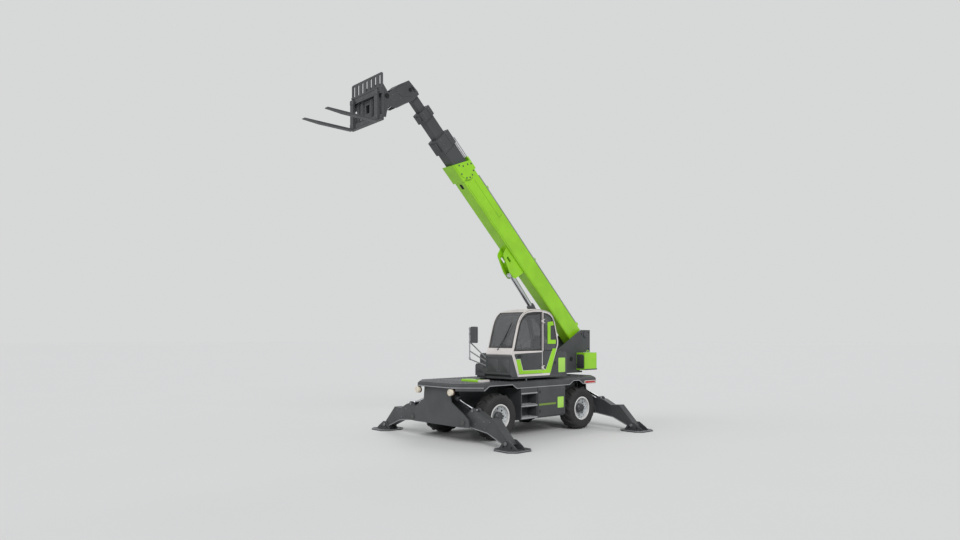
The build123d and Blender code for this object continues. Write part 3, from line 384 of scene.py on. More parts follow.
# Hard chrome ground round: mirror bright, with only the finest streaks
hardChrome = coatFinish("hardChromeGround", base="#d3d5d8", shade="#c2c4c8", metallic=1.0, roughness=0.16,
    skin=0.02, grain=60)
# Natural rubber with carbon black: dead matt, grey where it is scuffed
blackRubber = coatFinish("blackRubberMoulded", base="#29292a", shade="#222223", roughness=0.82, dust=0.22,
    dustColour="#6e6a62", wear=0.6, worn="#4a4947", edge=0.008, skin=0.25, grain=140)
# Moulded ABS with a leather grain: dark and soft in its gloss
blackPlastic = coatFinish("blackAbsMoulded", base="#2a2b2d", shade="#232426", roughness=0.55, skin=0.25,
    grain=260)
# Brown-black glass-filled nylon of the headlamps' shells, dull
umberPlastic = coatFinish("umberNylonMoulded", base="#4a3a30", shade="#3f3129", roughness=0.5, skin=0.2)
# Near-black coat: painted shade behind grilles, in holes, slots and gaps; on pin heads it is their own dark
# colour
paintedShadeAndDarkPins = coatFinish("paintedShadeAndDarkPinCoat", base="#161718", shade="#101112", roughness=0.8, skin=0.1)
# Screw and bolt heads, zinc plated: pale grey with a dull shine
zincPlate = coatFinish("zincPlatePassivated", base="#8f9194", shade="#7b7d80", metallic=0.8, roughness=0.38,
    skin=0.04)
# Red acrylic of the tail lamps, clear and deep
redPlastic = coatFinish("redAcrylicMoulded", base="#b3211c", shade="#8f1714", roughness=0.22, coat=0.5,
    skin=0.1, grain=300)
# Cream polycarbonate on the lamp bodies
creamPlastic = coatFinish("creamPolycarbonateMoulded", base="#e3d8c4", shade="#d6cab4", roughness=0.3,
    coat=0.3, skin=0.05)
# Vinyl film on the side plates: even, thin, a little glossy
limeFilm = coatFinish("limeVinylFilm", base="#a6d95a", shade="#9fd152", roughness=0.3, coat=0.3, skin=0.02)
oliveFilm = coatFinish("oliveVinylFilm", base="#76903a", shade="#6f8836", roughness=0.35, skin=0.02)
# Silvered glass of the mirror
silveredGlass = coatFinish("silveredGlass", base="#c8ccd0", shade="#bfc4c8", metallic=1.0, roughness=0.05,
    skin=0.0)


def glassFinish(name, cover, tint, film, rough):
    # toughened glass: the share that isn't covered lets light straight through, so the inside is lit; the
    # rest is the smoke in the glass and a faint dust, which roughens it in cloudy patches
    material, tree, surface = startMaterial(name, {"IOR": 1.5, "Alpha": cover, "Specular IOR Level": 0.8})
    place = addNode(tree, "TexCoord").outputs["Object"]
    cloud = addNode(tree, "TexNoise", values={"Scale": 3.0, "Detail": 5.0}, links={"Vector": place})
    colour = addNode(tree, "Mix", {"data_type": "RGBA"}, {6: toLinear(tint), 7: toLinear(film)}, {0: cloud})
    tree.links.new(colour.outputs[2], surface.inputs["Base Color"])
    spread = addNode(tree, "MapRange", values={"To Min": rough, "To Max": rough + 0.05},
        links={"Value": cloud})
    tree.links.new(spread.outputs[0], surface.inputs["Roughness"])
    return material


# Smoked toughened glass: grey from outside, with the seat and the controls faint behind it
smokedGlass = glassFinish("smokedGlassToughened", cover=0.52, tint="#525456", film="#5e6062", rough=0.03)
# Clear lens over a reflector
lensGlass = glassFinish("lensGlassPressed", cover=0.55, tint="#f2efe6", film="#e6e2d6", rough=0.08)


def clothFinish(name, base, light, thread):
    # woven cover: threads of the given width cross at right angles, drawn as two waves whose product
    # lifts the surface; colour changes a little from thread to thread
    material, tree, surface = startMaterial(name,
        {"Sheen Weight": 0.3, "Sheen Roughness": 0.5, "IOR": 1.45})
    place = addNode(tree, "TexCoord").outputs["Object"]
    scale = 1 / thread / 6.283
    warp, weft = [addNode(tree, "TexWave", {"bands_direction": way}, {"Scale": scale, "Distortion": 0.4},
        {"Vector": place}) for way in ("Y", "Z")]
    cross = addNode(tree, "Math", {"operation": "MULTIPLY"}, links={0: warp.outputs[1], 1: weft.outputs[1]})
    cloud = addNode(tree, "TexNoise", values={"Scale": 9.0, "Detail": 4.0}, links={"Vector": place})
    mixed = addNode(tree, "Math", {"operation": "MULTIPLY"}, links={0: cross, 1: cloud})
    colour = addNode(tree, "Mix", {"data_type": "RGBA"}, {6: toLinear(base), 7: toLinear(light)},
        {0: mixed})
    tree.links.new(colour.outputs[2], surface.inputs["Base Color"])
    spread = addNode(tree, "MapRange", values={"To Min": 0.75, "To Max": 0.95}, links={"Value": cloud})
    tree.links.new(spread.outputs[0], surface.inputs["Roughness"])
    bump = addNode(tree, "Bump", values={"Strength": 0.35, "Distance": 0.0015}, links={"Height": cross})
    tree.links.new(bump.outputs[0], surface.inputs["Normal"])
    return material


# Polyester upholstery, woven; threads drawn 5 mm wide, coarser than real, so that the weave shows
seatCloth = clothFinish("polyesterUpholsteryWoven", base="#2f3033", light="#55575b", thread=0.005)

slotFinish = {"dark_paint": charcoalEnamel, "green_paint": limeEnamel, "white_paint": ivoryEnamel,
    "silver_paint": silverEnamel, "bare_steel": oiledSteel, "iron": castIron, "chrome_rod": hardChrome,
    "tinted_glass": smokedGlass, "lamp_lens": creamPlastic, "seat_cover": seatCloth,
    "cab_plastic": blackPlastic, "tyre_rubber": blackRubber}
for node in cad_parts.values():
    for entry in node.material_slots:
        entry.material = slotFinish[entry.material.name.split(".")[0]]
slotOf = {finish.name: slot for slot, finish in slotFinish.items()}
for finish, slot in ((limeWeldPaintedShade, "green_paint"), (limeFilm, "green_paint"), (oliveFilm, "green_paint"),
        (rimEnamel, "silver_paint"), (paleGreyEnamelAndHighlight, "dark_paint"), (paintedShadeAndDarkPins, "dark_paint"),
        (zincPlate, "bare_steel"), (umberPlastic, "cab_plastic"), (redPlastic, "lamp_lens"),
        (lensGlass, "lamp_lens"), (silveredGlass, "chrome_rod")):
    slotOf[finish.name] = slot
print("finishes made:", len(bpy.data.materials))


# Wheels, drawn round the origin with the axle along y and the outer side towards +y.
wheelLook = dict(ahead=1.57, aside=1.005, height=0.575, hubStuds=10, discStuds=16)
tyreLook = dict(radius=0.575, halfWidth=0.2198, rim=0.3005, lugHeight=0.026, lugs=16, width=0.078,
    slant=0.532, phase=0.0159)


def tyreShapes():
    # carcass: a rounded section turned about the wheel's axis; lugs: curved blocks that start beside the
    # middle of the tread, slant round the tyre and fold down over the shoulder
    radius, rim = tyreLook["radius"], tyreLook["rim"]
    floor = radius - tyreLook["lugHeight"]
    half = [(rim, 0.1765), (rim + 0.019, 0.1775), (rim + 0.028, 0.184), (rim + 0.034, 0.201),
        (rim + 0.05, 0.209), (0.372, 0.2135), (0.376, 0.2105), (0.384, 0.2105), (0.388, 0.2145),
        (0.43, tyreLook["halfWidth"]), (0.455, 0.2185), (0.458, 0.2155), (0.468, 0.2155), (0.471, 0.2175),
        (0.512, 0.206), (0.53, 0.19), (floor - 0.003, 0.155), (floor, 0.09), (floor, 0.0)]
    shapes = [lathe(half + [(r, -x) for r, x in reversed(half[:-1])], (0, 0, 0), (0, 1, 0), 96)]
    # one lug on a grid: rows run from the tread's middle outwards and down the shoulder (offset, radius)
    top = np.array([[0.008, radius], [0.05, radius], [0.1, radius], [0.14, radius - 0.001],
        [0.163, radius - 0.012], [0.2, 0.526], [0.2165, 0.488], [0.2165, 0.452]])
    foot = np.array([[0.008, floor - 0.01], [0.05, floor - 0.01], [0.1, floor - 0.01],
        [0.14, floor - 0.012], [0.15, floor - 0.016], [0.183, 0.514], [0.203, 0.484], [0.2125, 0.444]])
    turn = (top[:, 0] - 0.08) * tyreLook["slant"] / radius
    wide = tyreLook["width"] / radius * np.array([1.0, 1.0, 1.02, 1.06, 1.1, 1.14, 1.1, 0.95])
    for k in range(tyreLook["lugs"]):
        for hand, shift in ((1, 0.0), (-1, 0.5)):
            middle = np.pi / 2 + 2 * np.pi * ((k + shift) / tyreLook["lugs"] + tyreLook["phase"])
            rows = []
            for line, across in ((foot, -0.56), (top, -0.44), (top, 0.44), (foot, 0.56)):
                angle = middle - turn + wide * across
                rows.append(np.stack([line[:, 1] * np.cos(angle), hand * line[:, 0],
                    line[:, 1] * np.sin(angle)], -1))
            shapes.append((np.stack(rows, 1).reshape(-1, 3),
                gridFaces(8, 4) + [[0, 1, 2, 3], [28, 29, 30, 31]]))
    return shapes


# nuts on the hub's flange, a ring of studs round the disc, and a filling valve
hubStuds, discStuds = wheelLook["hubStuds"], wheelLook["discStuds"]
nuts = bolts(circle(0.105, hubStuds, np.pi / hubStuds), 0.013, 0.022, onSide, 0.176)
nuts += bolts(circle(0.262, discStuds, np.pi / 2 / discStuds), 0.011, 0.016, onSide, 0.102)
valveWay = np.array([math.cos(0.7), 0, math.sin(0.7)])
nuts.append(pipe([valveWay * 0.238 + (0, 0.1, 0), valveWay * 0.225 + (0, 0.15, 0)], 0.006, 8))
hubCap = [(0, 0), (0.062, 0), (0.062, 0.01), (0.055, 0.016), (0.03, 0.02), (0, 0.021)]
hubDrum = [(0, 0.1765), (0.0955, 0.1765), (0.1268, 0.1462), (0.1268, 0.068), (0.1235, 0.068),
    (0.1235, 0.14), (0, 0.14)]
rimBand = [(0.2865, 0.122), (0.2865, 0.19), (0.29, 0.1935), (0.313, 0.1935), (0.318, 0.1905),
    (0.318, 0.186), (0.29, 0.186), (0.29, 0.122), (0.2865, 0.122)]
wheelPieces = (("tyreSkin_", tyreShapes(), blackRubber), ("wheelNuts_", nuts, zincPlate),
    ("hubCap_", [lathe(hubCap, (0, 0.1755, 0), (0, 1, 0), 32), lathe(hubDrum, (0, 0, 0), (0, 1, 0), 40)],
    charcoalEnamel), ("rimBand_", [lathe(rimBand, (0, 0, 0), (0, 1, 0), 72)], rimEnamel))
for corner, end, side in corners:
    centre = (end * wheelLook["ahead"], side * wheelLook["aside"], wheelLook["height"])
    for name, shapes, finish in wheelPieces:
        stands = ["tyre_" + corner] if name == "tyreSkin_" else ()
        addPiece(name + corner, [moved(s, centre, ((1, 0, 0), (0, side, 0), (0, 0, 1))) for s in shapes],
            finish, "wheel_" + corner, replaces=stands)
print("wheels made")

# Cab: side is its left face, pillar the face of the set-back left pillars, right its right face.
cabLook = dict(side=1.2203, pillar=1.2065, right=0.3047, screenLeft=1.173, screenRight=0.352, mirror=1.7897,
    pole=(1.82, 0.345))
side, pillar = cabLook["side"], cabLook["pillar"]
doorPanel = [(0.09, 1.698), (0.792, 1.698), (0.895, 1.985), (1.06, 1.985), (1.105, 2.075), (1.098, 2.112),
    (0.09, 2.15)]
doorStripe = [(0.078, 1.604), (0.938, 1.604), (1.048, 1.975), (0.91, 1.975), (0.812, 1.688), (0.078, 1.688)]
sillStripe = [(0.066, 1.6), (0.066, 1.688), (-0.062, 1.688), (-0.325, 2.236), (-0.47, 2.236), (-0.238, 1.6)]
rearPanel = [(0.062, 1.698), (0.062, 2.176), (-0.285, 2.176), (-0.054, 1.698)]
quarterFrame = [(-0.395, 2.905), (-0.192, 2.88), (-0.194, 2.412), (-0.455, 2.412)]
quarterPad = [(-0.252, 2.472), (-0.252, 2.826), (-0.362, 2.845), (-0.432, 2.472)]
addPiece("doorLowerPanel", [onSide(plate(doorPanel, 0.006, 0.004), side)], charcoalEnamel, "cab_door")
addPiece("doorStripe", [onSide(plate(doorStripe, 0.01, 0.003), side)], limeEnamel, "cab_door")
addPiece("rearLowerPanel", [onSide(plate(rearPanel, 0.006, 0.004), side)], charcoalEnamel, "turret")
addPiece("sillStripe", [onSide(plate(sillStripe, 0.008, 0.003), side)], limeEnamel, "turret")
addPiece("quarterFrame", [stripeOn(quarterFrame, 0.108, 0.012, pillar)], limeEnamel, "turret")
addPiece("quarterPad", [onSide(plate(quarterPad, 0.006, 0.002), pillar)], charcoalEnamel, "turret")

doorWindow = [(0.105, 2.188), (1.098, 2.188), (1.07, 2.27), (1.0, 2.53), (0.915, 2.808), (0.865, 2.922),
    (0.802, 3.01), (0.722, 3.074), (0.63, 3.117), (0.395, 3.147), (0.105, 3.155)]
quarterWindow = [(0.02, 2.188), (0.02, 3.155), (-0.11, 3.138), (-0.215, 3.098), (-0.3, 3.03),
    (-0.365, 2.915), (-0.43, 2.67), (-0.488, 2.43), (-0.488, 2.345), (-0.455, 2.26), (-0.43, 2.188)]
rightWindow = [(-0.43, 2.22), (1.085, 2.22), (1.005, 2.52), (0.92, 2.8), (0.85, 2.93), (0.74, 3.04),
    (0.62, 3.095), (0.18, 3.13), (-0.09, 3.115), (-0.29, 3.01), (-0.36, 2.88), (-0.47, 2.43), (-0.47, 2.33)]
doorEdge = [(0.08, 2.19), (0.08, 3.18), (0.4, 3.174), (0.638, 3.143), (0.736, 3.098), (0.82, 3.03),
    (0.888, 2.936), (0.94, 2.818), (1.025, 2.538), (1.096, 2.268), (1.125, 2.19)]


def sealAround(outline, y, inset, width, height, edge=0.004):
    # strip along an opening's edge, its middle line set inwards of it
    return stripeOn(insetOutline(outline, inset), width, height, y, edge, closed=True)


doorSeals = [sealAround(doorWindow, pillar, 0.014, 0.03, 0.006),
    sealAround(doorEdge, side, 0.01, 0.03, 0.003, 0.002)]
addPiece("doorWindowSeal", doorSeals, blackRubber, "cab_door")
addPiece("doorBeltBar", [stripeOn([(0.082, 2.163), (1.118, 2.13)], 0.03, 0.007, side)], ivoryEnamel,
    "cab_door")
addPiece("quarterWindowSeal", [sealAround(quarterWindow, side, -0.002, 0.022, 0.006)], blackRubber,
    "turret")
addPiece("rightWindowSeal", [sealAround(rightWindow, cabLook["right"], -0.004, 0.03, 0.008)], blackRubber,
    "turret")
print("cab panels made")

# the windscreen's edge in (x, z), and the strips that follow it
screenLine = [(1.15, 2.277), (1.075, 2.555), (0.99, 2.835), (0.937, 2.96), (0.865, 3.068), (0.765, 3.152),
    (0.742, 3.163)]
screenSection = softBar(0.022, 0.006, 0.003)
screenSeal = [sweep([(x, y, z) for x, z in screenLine], screenSection[:, ::-1] * [-1, 1], up=(0, 1, 0))
    for y in (cabLook["screenRight"], cabLook["screenLeft"])]
for x, z, lean in ((1.151, 2.275, math.atan2(0.075, 0.29)), (0.741, 3.163, 1.1)):
    ends = [(x, cabLook["screenRight"] - 0.01, z), (x, cabLook["screenLeft"] + 0.01, z)]
    screenSeal.append(sweep(ends, screenSection, up=(math.cos(lean), 0, math.sin(lean))))
addPiece("screenSeal", screenSeal, blackRubber, "turret")
screenOut = (0.93, 0, 0.36)
wiperPivot = [(0, 0), (0.022, 0), (0.022, 0.018), (0.014, 0.026), (0, 0.027)]
addPiece("wiper", [bentPipe([(1.166, 0.7, 2.232), (1.158, 0.74, 2.3), (1.045, 0.93, 2.7)], 0.03, 0.007, 8),
    sweep([(1.132, 0.86, 2.4), (1.024, 0.98, 2.78), (0.985, 1.01, 2.89)], softBar(0.012, 0.022, 0.004),
    up=screenOut), lathe(wiperPivot, (1.164, 0.7, 2.222), screenOut, 16)], blackPlastic, "turret")

# roof: folded ribs along it and a rubber joint round the lifted panel
roofLine = [(0.62, 3.2105), (0.41, 3.2485), (0.18, 3.2565), (-0.077, 3.2205), (-0.205, 3.1815)]
roofJoint = [(0.955, 2.885), (0.857, 3.055), (0.757, 3.139), (0.635, 3.193), (0.408, 3.234), (0.18, 3.242),
    (-0.074, 3.206), (-0.212, 3.163), (-0.316, 3.084), (-0.388, 2.95)]
addPiece("roofRibs", [sweep([(x, y, z) for x, z in roofLine], softBar(0.055, 0.012, 0.004))
    for y in (0.48, 0.67, 0.86, 1.05)], ivoryEnamel, "turret")
addPiece("roofJoint", [stripeOn(roofJoint, 0.008, 0.003, y) for y in (side, cabLook["right"])], blackRubber,
    "turret")

# door handle with its cup, and the lock beside it, on the door's lower panel
doorFace = side + 0.0059  # just inside the face of the door's lower panel
addPiece("doorHandle", [onSide(panel((0.865, 2.02), (1.005, 2.085), 0.02, 0.004, 0.0015), doorFace),
    bentPipe([(0.88, 1.228, 2.052), (0.88, 1.258, 2.052), (0.99, 1.258, 2.052), (0.99, 1.228, 2.052)],
    0.018, 0.009), lathe([(0, 0), (0.013, 0), (0.013, 0.005), (0, 0.006)], (0.83, doorFace, 2.052),
    (0, 1, 0), 16)], blackPlastic, "cab_door")

# mirror: glass on the face that looks back, a pale rim, and the clamps on its pole
poleX, poleY = cabLook["pole"]
glass = panel((0.425, 2.41), (0.595, 2.78), 0.03, 0.004, 0.001)
addPiece("mirrorGlass", [onFront(glass, cabLook["mirror"], -1)], silveredGlass, "turret")
mirrorRim = [sweep([(1.795, y, z) for y, z in roundedOutline((0.412, 2.397), (0.608, 2.793), 0.032)],
    softBar(0.016, 0.012, 0.003), up=(-1, 0, 0), closed=True)]
mirrorRim += [lathe([(0.0145, -0.02), (0.024, -0.02), (0.024, 0.02), (0.0145, 0.02)], (poleX, poleY, z),
    (0, 0, 1), 16) for z in (2.01, 2.42, 2.615, 2.745)]
addPiece("mirrorRim", mirrorRim, paleGreyEnamelAndHighlight, "turret")
mirrorTubes = [[(poleX, 1.962), (poleX, 2.788)], [(1.27, 2.0115), (1.8, 2.405)],
    [(1.27, 1.805), (1.8, 1.9785)], [(1.27, 1.915), (poleX, 2.19)]]
addPiece("mirrorTubes", [pipe([(x, poleY, z) for x, z in ends], 0.0155, 12) for ends in mirrorTubes],
    paleGreyEnamelAndHighlight, "turret")
print("cab trim made")

# Seat: cushions shaped as soft boxes, then filled; voxel is the mesh width and frames the filling time.
seatLook = dict(middle=0.7625, halfGap=0.215, power=0.42, pinch=0.035, crown=0.16, rows=28, voxel=0.007,
    frames=16, pressure=4.0)


def cushionShape(centre, size, lean):
    # ball pushed towards a box: each direction's sine and cosine is raised to a power below 1, as
    # sign(t) |t|^power; the sides pull in between the corners, the top and the bottom swell, and the
    # whole leans about the y direction
    count = seatLook["rows"]
    u, v = np.meshgrid(np.linspace(-np.pi / 2, np.pi / 2, count),
        np.linspace(-np.pi, np.pi, 2 * count, endpoint=False), indexing="ij")
    waves = np.stack([np.cos(u), np.cos(v), np.sin(v), np.sin(u)])
    round1, round2, round3, z = np.sign(waves) * np.abs(waves) ** seatLook["power"]
    x, y = round1 * round2, round1 * round3
    pinch = seatLook["pinch"]
    x, y = x * (1 - pinch * (1 - y ** 2)), y * (1 - pinch * (1 - x ** 2))
    z = z * (1 + seatLook["crown"] * (1 - x ** 2) * (1 - y ** 2))
    p = np.stack([x, y, z], -1).reshape(-1, 3) * np.asarray(size) / 2
    c, s = math.cos(lean), math.sin(lean)
    return p @ np.array([[c, 0, s], [0, 1, 0], [-s, 0, c]]) + centre, gridFaces(count, 2 * count)


def pointsOf(mesh):
    points = np.empty(len(mesh.vertices) * 3)
    mesh.vertices.foreach_get("co", points)
    return points.reshape(-1, 3)


def inflate(piece, cap):
    # the cover filled with foam: even mesh, cloth under inner pressure, and no point further than cap
    remesh = piece.modifiers.new("even", "REMESH")
    remesh.mode, remesh.voxel_size = "VOXEL", seatLook["voxel"]
    bpy.context.view_layer.objects.active = piece
    bpy.ops.object.select_all(action="DESELECT")
    piece.select_set(True)
    bpy.ops.object.modifier_apply(modifier="even")
    start = pointsOf(piece.data)
    cloth = piece.modifiers.new("cover", "CLOTH")
    cloth.settings.use_pressure = True
    cloth.settings.uniform_pressure_force = seatLook["pressure"]
    cloth.settings.effector_weights.gravity = 0.0
    for step in range(1, seatLook["frames"] + 1):
        bpy.context.scene.frame_set(step)
    bpy.ops.object.modifier_apply(modifier="cover")
    move = pointsOf(piece.data) - start
    move *= np.minimum(1, cap / np.maximum(np.linalg.norm(move, axis=1, keepdims=True), 1e-9))
    piece.data.vertices.foreach_set("co", (start + move).ravel())
    bpy.context.scene.frame_set(1)
    piece.data.polygons.foreach_set("use_smooth", np.ones(len(piece.data.polygons), bool))


def addCushion(name, centre, size, lean, cap, stands=()):
    piece = addPiece(name, [cushionShape(centre, size, lean)], seatCloth, "turret", replaces=stands,
        smooth=180)
    inflate(piece, cap)


mid, gap = seatLook["middle"], seatLook["halfGap"]
addCushion("seatCushion", (0.045, mid, 1.965), (0.44, 0.44, 0.105), 0.06, 0.012, ["operator_seat"])
addCushion("backCushion", (-0.215, mid, 2.235), (0.095, 0.42, 0.46), -0.16, 0.01)
addCushion("headRest", (-0.268, mid, 2.505), (0.075, 0.25, 0.115), -0.12, 0.006)
addCushion("armRest_left", (0.02, mid + gap, 2.165), (0.3, 0.055, 0.05), 0.03, 0.003)
addCushion("armRest_right", (0.02, mid - gap, 2.165), (0.3, 0.055, 0.05), 0.03, 0.003)
bellows = [(0, 0), (0.165, 0), (0.18, 0.02), (0.16, 0.045), (0.18, 0.07), (0.16, 0.095), (0.18, 0.12),
    (0.16, 0.145), (0.175, 0.17), (0.165, 0.2), (0, 0.2)]
seatStand = [lathe(bellows, (0.045, mid, 1.7), (0, 0, 1), 28),
    onTop(panel((-0.165, mid - 0.205), (0.255, mid + 0.205), 0.05, 0.03, 0.008), 1.895),
    onTop(panel((-0.13, mid - 0.18), (0.22, mid + 0.18), 0.04, 0.11, 0.01), 1.5914)]
seatStand += [pipe([(-0.262, mid + y, 2.42), (-0.268, mid + y, 2.5)], 0.007, 8) for y in (-0.06, 0.06)]
addPiece("seatStand", seatStand, blackPlastic, "turret")
# a lever at the end of each arm rest, a screen on its post, and two pedals
lever = [(0, 0), (0.03, 0), (0.022, 0.03), (0.012, 0.05), (0.014, 0.1), (0.024, 0.13), (0.022, 0.16),
    (0, 0.175)]
controls = [bentPipe([(-0.1, y, 2.02), (-0.1, y, 2.13), (0.0, y, 2.135)], 0.03, 0.016)
    for y in (mid + gap, mid - gap)]
controls += [lathe(lever, (0.165, y, 2.185), (0.12, 0, 1), 16) for y in (mid + gap, mid - gap)]
controls.append(moved(panel((-0.1, -0.065), (0.1, 0.065), 0.012, 0.03, 0.006), (0.8, 0.52, 2.3),
    ((0, 1, 0), (0.3, 0, 0.954), (-0.954, 0, 0.3))))
controls.append(pipe([(0.83, 0.52, 2.02), (0.82, 0.52, 2.3)], 0.012))
controls += [moved(panel((-0.05, -0.035), (0.05, 0.035), 0.01, 0.014, 0.004), (0.66, mid + y, 1.64),
    ((0.8, 0, 0.6), (0, 1, 0), (-0.6, 0, 0.8))) for y in (-0.22, 0.2)]
addPiece("cabControls", controls, blackPlastic, "turret")
print("seat made")

# Boom: top, middle and low are heights on the first section, flank the side that carries its welds.
boomLook = dict(top=0.075, middle=-0.195, low=-0.465, flank=0.1795, highlightAside=0.16, weldFrom=4.62,
    weldTo=5.86, cheek=0.2271, lugs=(0.34, 2.9, 5.42), pipes=(-0.02, -0.05, -0.08), pivotCap=0.3341)
# height, width, where its collar starts along the boom, and the collar's reach above and below
sections = {"two": (0.46, 0.29, 6.94, 0.325, 0.335), "three": (0.34, 0.22, 7.82, 0.2, 0.2)}
cheek = [(6.265, 0.067), (6.335, -0.065), (6.39, -0.215), (6.48, -0.315), (6.54, -0.463), (6.23, -0.463),
    (6.04, -0.385), (5.97, -0.265), (5.97, -0.135), (6.03, -0.005), (6.12, 0.067)]
top, low, flank = boomLook["top"], boomLook["low"], boomLook["flank"]
cheekSpots = insetOutline(cheek, 0.042)[[0, 1, 2, 3, 5, 6, 7, 8, 9]]
addPiece("collarBolts", bolts(cheekSpots, 0.016, 0.016, onBoomSide, boomLook["cheek"], -boomLook["cheek"]),
    charcoalEnamel, "boom")
# pale strips along the boom's top edges: a painted highlight of its rounded edges
boomHighlightStrips = [alongBoom(sweep([(0.42, y, top - 0.001), (5.84, y, top - 0.001)],
    softBar(0.024, 0.026, 0.004))) for y in (boomLook["highlightAside"], -boomLook["highlightAside"])]
addPiece("boomEdgeRails", boomHighlightStrips, paleGreyEnamelAndHighlight, "boom")
weldFrom, weldTo = boomLook["weldFrom"], boomLook["weldTo"]
welds = []
for y in (flank, -flank):
    for line, width, height, edge in (([(weldFrom, -0.14), (weldTo, -0.14)], 0.012, 0.004, 0.0015),
            ([(0.3, -0.425), (5.9, -0.425)], 0.01, 0.0035, 0.001),
            ([(weldFrom, -0.16), (weldFrom, 0.02)], 0.01, 0.0035, 0.001)):
        welds.append(alongBoom(stripeOn(line, width, height, y, edge)))
# raised weld beads in a darker green, which is painted shade along them
addPiece("boomWelds", welds, limeWeldPaintedShade, "boom")
lug = plate([(-0.07, 0), (0.07, 0), (0.045, 0.075), (0.018, 0.092), (-0.018, 0.092), (-0.045, 0.075)],
    0.012)
lugs = [alongBoom(moved(lug, (s, y, top - 0.001), ((1, 0, 0), (0, 0, 1), (0, 1, 0))))
    for s in boomLook["lugs"] for y in (0.125, -0.137)]
lugs.append(onBoomTop(panel((5.6, -0.09), (5.78, 0.09), 0.02, 0.02, 0.004), top))
addPiece("boomLugs", lugs, limeEnamel, "boom")
# the slot is a near-black plate: painted shade
slot = panel((5.84, -0.045), (5.99, 0.045), 0.03, 0.002, 0.0005)
addPiece("boomSlots", [onBoomTop(slot, low - 0.0001, -1)], paintedShadeAndDarkPins, "boom")
# steel pipes for oil along the right-hand side, held by clamps
oilPipes = []
for n in boomLook["pipes"]:
    line = [(0.25, -0.195, n - 0.02), (0.34, -0.197, n), (5.8, -0.197, n), (5.88, -0.192, n - 0.03)]
    oilPipes.append(alongBoom(sweep(roundedPath(line, 0.05), ring(0.0095, 8), up=(0, 1, 0))))
addPiece("boomOilPipes", oilPipes, oiledSteel, "boom")
addPiece("pipeClamps", [onBoomSide(panel((s, -0.105), (s + 0.05, 0.005), 0.008, 0.03, 0.004), -0.1801)
    for s in np.arange(0.55, 5.7, 0.72)], blackPlastic, "boom")
pivotX, _, pivotZ = boomLine["pivot"]
pivotCap = [(0, 0), (0.092, 0), (0.092, 0.012), (0.082, 0.018), (0.04, 0.018), (0.034, 0.024), (0, 0.024)]
capFace = boomLook["pivotCap"]
addPiece("boomPivotCaps", [lathe(pivotCap, (pivotX, way * capFace, pivotZ), (0, way, 0), 36)
    for way in (1, -1)], charcoalEnamel, "turret")
addPiece("boomPivotBolts", bolts(circle(0.067, 8, middle=(pivotX, pivotZ)), 0.01, 0.01, onSide,
    capFace + 0.018, -capFace - 0.018), zincPlate, "turret")


def collarTrim(name):
    # screws on a collar's sides, top and underside, and the cover plates over its slide pads
    height, width, front, topReach, lowReach = sections[name]
    middle, half, out = boomLook["middle"], height / 2 + 0.035, width / 2 + 0.0351
    reach = (topReach + lowReach) / 2
    screws = bolts([(s, middle + share * half) for s in np.linspace(front + 0.02, front + reach - 0.05, 3)
        for share in (0.55, -0.55)], 0.011, 0.01, onBoomSide, out, -out)
    screws += bolts([(s, y) for s in (front + 0.03, front + topReach - 0.06)
        for y in (-width * 0.3, width * 0.3)], 0.012, 0.012, onBoomTop, middle + half, (middle - half, -1))
    sidePad = panel((front - 0.02, middle + half * 0.32), (front + reach - 0.02, middle + half * 0.78),
        0.015, 0.01, 0.003)
    topPad = panel((front, -width * 0.42), (front + topReach - 0.03, width * 0.42), 0.02, 0.022, 0.005)
    lowPad = panel((front + 0.02, -width * 0.4), (front + lowReach - 0.06, width * 0.4), 0.02, 0.03, 0.006)
    pads = [onBoomSide(sidePad, y * 0.985) for y in (out, -out)]
    pads += [onBoomTop(topPad, middle + half - 0.004), onBoomTop(lowPad, middle - half + 0.004, -1)]
    addPiece("collarPads_" + name, pads, charcoalEnamel, "boom_" + name)
    addPiece("collarScrews_" + name, screws, zincPlate, "boom_" + name)


collarTrim("two")
collarTrim("three")
# two bright guide rods held over the mouth of the first section, clear of the collar that slides under them
guideRods = [alongBoom(sweep([(6.32, y, 0.128), (7.0, y, 0.128)], ring(0.013, 12))) for y in (0.05, 0.118)]
rodHolder = panel((6.28, 0.024), (6.4, 0.144), 0.012, 0.042, 0.005)
addPiece("guideRods", guideRods, hardChrome, "boom")
addPiece("guideRodHolder", [onBoomTop(rodHolder, 0.1085)], limeEnamel, "boom")
print("boom made")

# Boom head and its carriage: flank is the head's side plate, face and back the carriage plate's two sides.
headLook = dict(flank=0.1451, topPin=(8.582, -0.225), lowPin=(8.863, -0.927))
carriageLook = dict(face=4.7003, back=4.624, hook=4.7454, coupler=0.1762, tines=(0.49, -0.49),
    ribs=(-0.585, -0.385, -0.215, 0.215, 0.385, 0.585))
flank = headLook["flank"]


def pinHeads(s, n, y, radius):
    # a turned head on both sides of the boom, at (s, n) along it
    x, _, z = np.array(boomLine["pivot"]) + s * np.array(boomAxes[0]) + n * np.array(boomAxes[2])
    return [lathe(pinHead(radius, 0.016), (x, way * y, z), (0, way, 0), 24) for way in (1, -1)]


